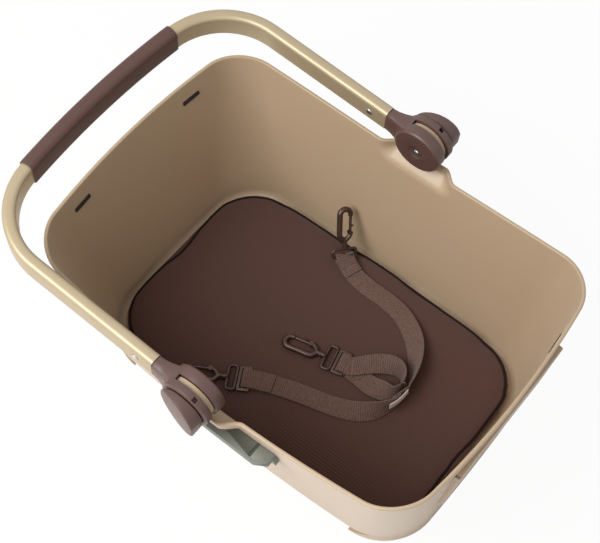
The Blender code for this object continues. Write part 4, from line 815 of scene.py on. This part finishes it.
WEB_WIDTH, WEB_THICK, WEB_STEP, WEB_EDGE = 0.020, 0.0016, 0.0025, 0.48
FOLD_GAP, RAIL_TURN, RAIL_FAR = 0.0001, 0.00215, 0.0051
STRAP_A_ROUTE = (
    (-0.0349, 0.0948, 0.0233, 0), (-0.0290, 0.0920, 0.0227, 0), (-0.0180, 0.0880, 0.0223, 0),
    (-0.0060, 0.0858, 0.0221, 0), (0.0080, 0.0848, 0.0221, 0), (0.0220, 0.0848, 0.0221, 0),
    (0.0360, 0.0838, 0.0222, 0), (0.0500, 0.0806, 0.0227, 3), (0.0620, 0.0752, 0.0237, 8),
    (0.0730, 0.0682, 0.0251, 16), (0.0825, 0.0594, 0.0271, 28), (0.0905, 0.0494, 0.0293, 42),
    (0.0970, 0.0394, 0.0311, 56), (0.1018, 0.0300, 0.0323, 70), (0.1048, 0.0218, 0.0329, 80),
    (0.1056, 0.0170, 0.0331, 84),
)
STRAP_B_ROUTE = (
    (0.0421, 0.0008, 0.0270, 0), (0.0460, 0.0018, 0.0270, 0), (0.0505, 0.0058, 0.0272, 0),
    (0.0550, 0.0108, 0.0276, 3), (0.0612, 0.0164, 0.0284, 9), (0.0685, 0.0220, 0.0294, 20),
    (0.0770, 0.0262, 0.0310, 36), (0.0858, 0.0276, 0.0328, 56), (0.0932, 0.0250, 0.0342, 74),
    (0.0984, 0.0194, 0.0347, 86), (0.1007, 0.0120, 0.0347, 94), (0.0995, 0.0045, 0.0345, 104),
    (0.0947, 0.0008, 0.0335, 124), (0.0866, -0.0012, 0.0306, 148), (0.0762, -0.0024, 0.0270, 168),
    (0.0660, -0.0019, 0.0248, 178), (0.0570, -0.0011, 0.0245, 180), (0.0505, -0.0008, 0.0245, 180),
    (0.0470, -0.0006, 0.0245, 180),
)
STRAP_C_ROUTE = (
    (-0.0243, -0.0706, 0.0230, 0), (-0.0190, -0.0678, 0.0230, 0), (-0.0060, -0.0622, 0.0233, 0),
    (0.0080, -0.0570, 0.0236, 0), (0.0220, -0.0524, 0.0238, 0), (0.0360, -0.0484, 0.0239, 0),
    (0.0500, -0.0446, 0.0241, 3), (0.0640, -0.0402, 0.0248, 9), (0.0770, -0.0346, 0.0262, 20),
    (0.0878, -0.0278, 0.0286, 38), (0.0960, -0.0200, 0.0310, 58), (0.1018, -0.0118, 0.0326, 76),
    (0.1052, -0.0040, 0.0332, 86), (0.1064, 0.0030, 0.0334, 90),
)
TAG_ROUTE = (
    (0.1044, -0.0122, 0.0360, 90), (0.1070, -0.0048, 0.0360, 90), (0.1083, 0.0030, 0.0360, 90),
    (0.1086, 0.0120, 0.0360, 90),
)
TAG_HIGH, TAG_THICK, TAG_STEP = 0.0105, 0.0008, 0.0012
LAP_TURN = (0.1066, 0.0140, 0.0332)
LAP_FRAMES, TAIL_A_FRAMES, TAIL_C_FRAMES = 4, slice(7, 2, -1), slice(9, 3, -1)
FINE_STEPS = 16
# A hook's eye, the way that its tip points and the way that its bar runs.
HOOK_PLACES = (
    ((-0.0380, 0.0962, 0.0266), (-0.35, 0.48, 0.805), (0.42, 0.91, 0.0)),
    ((0.0267, -0.0031, 0.0265), (-0.970, -0.242, 0.0), (-0.242, 0.970, 0.0)),
    ((-0.0378, -0.0785, 0.0242), (-0.866, -0.5, 0.0), (-0.5, 0.866, 0.0)),
)
# The middle of each fitting and the way that its bars run.
SLIDER_PLACE = ((0.0350, -0.0010, 0.0257), (-0.242, 0.970, 0.0))
ADJUSTER_PLACE = ((-0.0305, -0.0742, 0.0240), (-0.5, 0.866, 0.0))


def between(before, a, b, after, t):
    """A place on the smooth curve from a to b."""
    return 0.5 * (2 * a + (b - before) * t + (2 * before - 5 * a + 4 * b - after) * t * t
                  + (3 * a - before - 3 * b + after) * t ** 3)


def neighbours(items, i):
    return [items[min(max(i + k, 0), len(items) - 1)] for k in (-1, 0, 1, 2)]


def filled(spots, steps):
    """More places between those given, on one smooth curve."""
    return [between(*neighbours(spots, i), k / steps)
            for i in range(len(spots) - 1) for k in range(steps)] + [spots[-1]]


def web_frames(route, step=WEB_STEP):
    """Centre and width direction of webbing at even steps on a route of x, y, z and lean in degrees."""
    spots = [Vector(point) for point in route]
    fine = filled(spots, FINE_STEPS)
    gone = [0.0]
    for a, b in zip(fine, fine[1:]):
        gone.append(gone[-1] + (b.to_3d() - a.to_3d()).length)
    count = max(round(gone[-1] / step), 2)
    points = []
    k = 0
    for i in range(count + 1):
        want = gone[-1] * i / count
        while k < len(fine) - 2 and gone[k + 1] < want:
            k += 1
        points.append(fine[k].lerp(fine[k + 1], min((want - gone[k]) / (gone[k + 1] - gone[k]), 1)))
    frames = []
    for i, point in enumerate(points):
        ahead = points[min(i + 1, count)].to_3d() - points[max(i - 1, 0)].to_3d()
        ahead.normalize()
        side = Vector((0, 0, 1)).cross(ahead).normalized()
        lean = math.radians(point[3])
        frames.append((point.to_3d(), side * math.cos(lean) + ahead.cross(side) * math.sin(lean)))
    return frames


def smoothed(frames, steps=5):
    """More frames between those given, on one smooth curve."""
    fine = []
    for i in range(len(frames) - 1):
        centres, sides = zip(*neighbours(frames, i))
        for k in range(steps):
            fine.append((between(*centres, k / steps), between(*sides, k / steps).normalized()))
    return fine + [frames[-1]]


def squared(frames):
    """Centre, width and thickness directions at every frame."""
    made = []
    for i, (here, side) in enumerate(frames):
        ahead = frames[min(i + 1, len(frames) - 1)][0] - frames[max(i - 1, 0)][0]
        over = ahead.cross(side).normalized()
        made.append((here, over.cross(ahead).normalized(), over))
    return made


def webbed(name, frames, surface, width=WEB_WIDTH, thick=WEB_THICK):
    """Webbing through its frames, with round edges and a UV map in metres: along it, and across it."""
    section = rounded_rectangle(width, thick, thick * WEB_EDGE, 3)
    lengths = [0.0]
    for a, b in zip(frames, frames[1:]):
        lengths.append(lengths[-1] + (b[0] - a[0]).length)
    shape = outward(skin([[here + across * u + over * v for u, v in section]
                          for here, across, over in squared(frames)]))
    shape.verts.ensure_lookup_table()
    layer = shape.loops.layers.uv.new("webbing")
    count = len(section)
    for face in shape.faces:
        for loop in face.loops:
            number = loop.vert.index
            loop[layer].uv = (lengths[number // count], section[number % count][0] + width / 2)
    return shaded(place(name, shape, surface), 60)


def raised(frames, height):
    """The frames of a second layer of webbing on top of the first."""
    return [(here + over * math.copysign(height, over.z), across)
            for here, across, over in squared(frames)]


def turned_back(incoming, outgoing, centre, bar, radius, rail=0.0):
    """Frames of webbing that comes in over a bar, turns round it and goes out under it."""
    centre, bar = Vector(centre), Vector(bar).normalized()
    if bar.dot(outgoing[0][1]) < 0:
        bar = -bar
    away = outgoing[-1][0] - centre
    away = (away - bar * away.dot(bar) - Vector((0, 0, away.z))).normalized()
    up = away.cross(bar) if away.cross(bar).z > 0 else bar.cross(away)
    loop = [(centre + away * c + up * s, bar) for c, s in arc(radius, math.pi / 2, 3 * math.pi / 2, 4)]
    over_rail = [(centre + away * rail + up * radius, bar)] if rail else []
    under_rail = [(centre + away * rail - up * radius, bar)] if rail else []
    incoming, outgoing = ([(spot, side if side.dot(bar) > 0 else -side) for spot, side in part]
                          for part in (incoming, outgoing))
    return smoothed(incoming + over_rail + loop + under_rail + outgoing)


# Woven polyester: coarse cross ribs in a mottled brown, with painted light on the rib crowns, painted
# shade in the hollows and a soft fibre sheen. The weave is drawn coarser than it is, so that it shows.
WEFT_MM, WARP_MM, MOTTLE_MM = 2.3, 2.5, 2.6
webbing, tree, shader, woven = finish_of("woven polyester webbing", uv="webbing", Roughness=0.85,
                                         Sheen_Weight=0.2, Sheen_Roughness=0.5, Specular_IOR_Level=0.3)
axes = put(tree, "ShaderNodeSeparateXYZ", {0: woven})
waves = []
for axis, thread_mm in enumerate((WEFT_MM, WARP_MM)):
    turns = put(tree, "ShaderNodeMath", {0: axes.outputs[axis], 1: 2000 * math.pi / thread_mm},
                operation="MULTIPLY")
    waves.append(put(tree, "ShaderNodeMath", {0: turns}, operation="SINE").outputs[0])
weft, warp = waves
weave = put(tree, "ShaderNodeMath", {0: weft, 1: warp}, operation="MULTIPLY")
relief = put(tree, "ShaderNodeMath", {0: weave, 1: 0.6, 2: weft}, operation="MULTIPLY_ADD")
painted_crown_light = put(tree, "ShaderNodeMapRange", {"Value": relief, "From Min": -1.3, "From Max": 1.3})
where = put(tree, "ShaderNodeTexCoord").outputs["Object"]
fibre = put(tree, "ShaderNodeTexNoise", {
    "Vector": where, "Scale": 1000 / MOTTLE_MM, "Detail": 3.0, "Roughness": 0.7})
# Painted light and shade: the weave's crowns paler, its hollows darker.
tint = put(tree, "ShaderNodeMix", {0: painted_crown_light, 6: linear("4A362F"), 7: linear("74594F")}, data_type="RGBA")
mottle = put(tree, "ShaderNodeMapRange", {
    "Value": fibre, "From Min": 0.35, "From Max": 0.7, "To Min": 0.0, "To Max": 0.6})
coated(tree, shader, mottle, (tint.outputs[2], "7C6258"), (relief, 0.6, 0.0004))

# Bronze-plated zinc: a dark warm metal, satin, with small cast ripples that catch the light.
bronze = grained("bronze plated zinc", 2.0, ("42332D", "5C4A42"), (0.26, 0.42), (0.15, 0.0002), detail=3.0,
                 Metallic=0.6)

EYE_WIRE, EYE_WIDTH, EYE_DEPTH, EYE_CORNER = 0.0015, 0.026, 0.009, 0.003
BARREL_LENGTH, LOOP_LENGTH, LOOP_HALF, LOOP_WIRE, LOOP_BACK_WIRE = 0.010, 0.037, 0.0059, 0.0023, 0.0031
LOOP_ROOT, LOOP_NOSE = 0.0074, 0.02664
SHOULDERS = ((0.4, 0.72), (0.75, 1.0))
COLLARS = ((-0.0006, 0.0022), (0.0, 0.0033), (0.0014, 0.0035), (0.0018, 0.0028), (0.0044, 0.0028),
           (0.0049, 0.0033), (0.0062, 0.0033), (0.0068, 0.0026), (0.0092, 0.0027), (0.0112, 0.0019))
GATE_GAP, GATE_WIRE, GATE_TIP, GATE_STEPS = 0.0008, 0.0015, 0.88, 12
GATE_STUD, STUD_ALONG = 0.0013, 0.42
STUD_FORM = ((0.0, 1.0), (0.0021, 0.8), (0.0028, 1.15), (0.0034, 0.8))
CHEEK_RADIUS, CHEEK_NEAR, CHEEK_FAR, PIVOT_RADIUS = 0.0024, 0.0017, 0.0025, 0.0010
WIRE_STEPS, TURNED_STEPS, LOOP_STEPS = 16, 24, 10
FITTING_EDGE = 0.0003


def wire(points, radii, closed=False):
    """A round wire with its own radius at each point of a flat path in x and y."""
    count = len(points)
    rings = []
    for i, (x, y) in enumerate(points):
        before = points[(i - 1) % count if closed else max(i - 1, 0)]
        after = points[(i + 1) % count if closed else min(i + 1, count - 1)]
        way = Vector((after[0] - before[0], after[1] - before[1])).normalized()
        rings.append([(x - way.y * radii[i] * c, y + way.x * radii[i] * c, radii[i] * s)
                      for c, s in circle(1.0, WIRE_STEPS)])
    return outward(skin(rings, closed=closed))


def snap_hook():
    """Eye, swivel collars, tapered hook and the gate's cheeks; also the gate's place and length."""
    root = -EYE_DEPTH - BARREL_LENGTH
    stub, nose = root - LOOP_ROOT, root - LOOP_NOSE
    tip = root - LOOP_LENGTH + LOOP_WIRE + LOOP_HALF
    shoulder = [(lerp(root, stub, along), LOOP_HALF * across) for along, across in SHOULDERS]
    path = [(stub, LOOP_HALF)] + shoulder[::-1] + [(root, 0.0)] + [(x, -y) for x, y in shoulder]
    path.append(((stub + tip) / 2, -LOOP_HALF))
    path += arc(LOOP_HALF, 3 * math.pi / 2, math.pi / 2, LOOP_STEPS, (tip, 0.0))
    path.append((nose, LOOP_HALF))
    fine = filled([Vector(point) for point in path], 4)
    last = len(fine) - 1
    swell = [lerp(LOOP_WIRE, LOOP_BACK_WIRE, math.sin(math.pi * i / last)) for i in range(last + 1)]
    hook = place("hook_wire", wire([tuple(spot) for spot in fine], swell))
    eye = rounded_rectangle(EYE_DEPTH, EYE_WIDTH, EYE_CORNER, 5)
    eye = [(x - EYE_DEPTH / 2, y) for x, y in eye]
    boolean(hook, wire(eye, [EYE_WIRE] * len(eye), closed=True), "UNION")
    barrel = [[(-EYE_DEPTH - along, y, z) for y, z in circle(radius, TURNED_STEPS)]
              for along, radius in COLLARS]
    boolean(hook, outward(skin(barrel)), "UNION")
    pivot = (stub - GATE_GAP, LOOP_HALF)
    pin_end = CHEEK_FAR + PIVOT_RADIUS / 4
    for radius, low, high in ((CHEEK_RADIUS, CHEEK_NEAR, CHEEK_FAR), (CHEEK_RADIUS, -CHEEK_FAR, -CHEEK_NEAR),
                              (PIVOT_RADIUS, -pin_end, pin_end)):
        boolean(hook, prism(circle(radius, TURNED_STEPS, pivot), "Z", low, high), "UNION")
    return hook, pivot, stub - nose - 2 * GATE_GAP


def frame_at(origin, tip, bar):
    """A fitting's matrix: its tip points down its own -X and its bar runs along its own Y."""
    x_axis = -Vector(tip).normalized()
    y_axis = (Vector(bar) - x_axis * Vector(bar).dot(x_axis)).normalized()
    return Matrix.Translation(origin) @ Matrix((x_axis, y_axis, x_axis.cross(y_axis))).transposed().to_4x4()


hook_shape, gate_pivot, gate_length = snap_hook()
gate_points = [(gate_pivot[0] - gate_length * k / GATE_STEPS, gate_pivot[1]) for k in range(GATE_STEPS + 1)]
gate_radii = [GATE_WIRE] * GATE_STEPS + [GATE_WIRE * GATE_TIP]
gate_shape = place("gate", wire(gate_points, gate_radii))
stud_x = gate_pivot[0] - gate_length * STUD_ALONG
stud_ring = [(c, -s) for c, s in circle(1.0, WIRE_STEPS)]
boolean(gate_shape, skin([[(stud_x + GATE_STUD * r * c, gate_pivot[1] + y, GATE_STUD * r * s)
                           for c, s in stud_ring] for y, r in STUD_FORM]), "UNION")
hooks, gates = [], []
for number, spot in enumerate(HOOK_PLACES, 1):
    for kept, shape, kind, body in ((hooks, hook_shape, "hook_body_", "tub"),
                                    (gates, gate_shape, "hook_gate_", "gate_" + str(number))):
        node = kind + str(number)
        made = place("snap_" + node, bmesh_of(shape.data), bronze)
        made.data.transform(frame_at(*spot))
        fitted(shaded(made, 35), "hook_metal", body, node)
        kept.append(made)
for spare in (hook_shape, gate_shape):
    bpy.data.objects.remove(spare)
fittings = {}
for node in ("strap_slider", "strap_adjuster", "strap_loop_bar"):
    fittings[node] = refined(node, bronze, FITTING_EDGE)
    fitted(fittings[node], "hook_metal", "tub", node)

# Woven tape: white satin threads, close together, softly shiny. They are drawn coarser than they are, so
# that they show.
TAPE_MM, TWIST_MM = 3.4907, 0.7854
tag_cloth, tree, shader, woven = finish_of("woven satin tape", uv="webbing", Roughness=0.7,
                                           Sheen_Weight=0.2)
threads = put(tree, "ShaderNodeTexWave", {
    "Vector": woven, "Scale": bands(TAPE_MM), "Distortion": 0.2}).outputs["Fac"]
coated(tree, shader, threads, ("E4DADA", "F0E8E7"), (threads, 0.2, 0.0002))
tag = webbed("sewn_tag", web_frames(TAG_ROUTE, TAG_STEP), tag_cloth, TAG_HIGH, TAG_THICK)
fitted(tag, "tag_cloth", "tub", "lead_tag")

frames_a, frames_b, frames_c = map(web_frames, (STRAP_A_ROUTE, STRAP_B_ROUTE, STRAP_C_ROUTE))
straps = {"a": frames_a[::-1], "b": frames_b, "c": frames_c[::-1]}
for letter, frames in straps.items():
    straps[letter] = (webbed("webbing_" + letter, frames, webbing), [tuple(spot) for spot, _ in frames])
    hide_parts("strap_" + letter)

tail_a = raised(frames_a, WEB_THICK + FOLD_GAP)[TAIL_A_FRAMES]
tail_c = raised(frames_c, WEB_THICK + FOLD_GAP)[TAIL_C_FRAMES]
folds = {
    "a": turned_back(tail_a, frames_a[:1], HOOK_PLACES[0][0], frame_at(*HOOK_PLACES[0]).col[1].to_3d(),
                     EYE_WIRE + WEB_THICK / 2 + FOLD_GAP),
    "b": turned_back(frames_b[:1], frames_b[-1:], *SLIDER_PLACE, RAIL_TURN, RAIL_FAR),
    "c": turned_back(tail_c, frames_c[:1], *ADJUSTER_PLACE, RAIL_TURN, RAIL_FAR),
}
for letter, frames in folds.items():
    folds[letter] = webbed("webbing_turn_" + letter, frames, webbing)
inner_c = [(here - over * math.copysign(WEB_THICK + FOLD_GAP, over.x), across if across.z > 0 else -across)
           for here, across, over in squared(frames_c)[:-LAP_FRAMES - 1:-1]]
turning = [frames_a[-1], (Vector(LAP_TURN), frames_a[-1][1])]
lap = webbed("webbing_lap", smoothed(turning + inner_c), webbing)

# Geometry Nodes lay stitches along rows: each is one small bead of thread, turned along its row.
THREAD_RADIUS, STITCH_LENGTH, STITCH_PITCH = 0.00028, 0.0022, 0.0028
SEAM_INSET = 0.0028


def stitch_tree():
    """Rows of edges in, beads of thread out."""
    tree, given = growing("sewn rows", ["Pitch", "Stitch length", "Thread radius"])
    rows = put(tree, "GeometryNodeMeshToCurve", {"Mesh": given["Start"]})
    spots = put(tree, "GeometryNodeResampleCurve", {"Curve": rows, "Length": given["Pitch"]}, mode="LENGTH")
    way = put(tree, "GeometryNodeInputTangent")
    turned = put(tree, "FunctionNodeAlignRotationToVector", {"Vector": way}, axis="X")
    half = put(tree, "ShaderNodeMath", {0: given["Stitch length"], 1: 0.5}, operation="MULTIPLY")
    size = put(tree, "ShaderNodeCombineXYZ", {
        "X": half, "Y": given["Thread radius"], "Z": given["Thread radius"]})
    bead = put(tree, "GeometryNodeMeshIcoSphere", {"Radius": 1.0, "Subdivisions": 2})
    return ended(tree, given, put(tree, "GeometryNodeInstanceOnPoints", {
        "Points": spots, "Instance": bead, "Rotation": turned, "Scale": size}))


def box_seam(frames):
    """A sewn box on the face of the webbing: two long rows and two across."""
    inset = WEB_WIDTH / 2 - SEAM_INSET
    lifted = raised(frames, WEB_THICK / 2 + THREAD_RADIUS / 2)
    sides = [[here + across * out for here, across in lifted] for out in (inset, -inset)]
    return sides + [[row[end] for row in sides] for end in (0, -1)]


# Spun polyester: matt, twisted, a shade darker than the webbing.
thread, tree, shader, where = finish_of("spun polyester thread", Roughness=0.7, Sheen_Weight=0.3)
twist = put(tree, "ShaderNodeTexWave", {"Vector": where, "Scale": bands(TWIST_MM)},
            bands_direction="DIAGONAL")
coated(tree, shader, twist.outputs["Fac"], ("3A2B26", "6A534A"))
rows = path_mesh(box_seam(tail_a) + box_seam(tail_c))
stitches = grown(place("lead_stitches", rows), stitch_tree(), {
    "Pitch": STITCH_PITCH, "Stitch length": STITCH_LENGTH, "Thread radius": THREAD_RADIUS,
    "Material": thread})

for number, (letter, start, fitting, more) in enumerate((
        ("a", STRAP_A_ROUTE[-1], "strap_loop_bar", [tag, lap, stitches]),
        ("b", STRAP_B_ROUTE[0], "strap_slider", []), ("c", STRAP_C_ROUTE[-1], "strap_adjuster", []))):
    strap, path = straps[letter]
for piece in [strap for strap, _ in straps.values()] + list(folds.values()) + [lap, stitches]:
    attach(piece, "tub")

size = {"cad": cad_box, "visual": [[float(v) for v in corner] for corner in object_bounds()]}
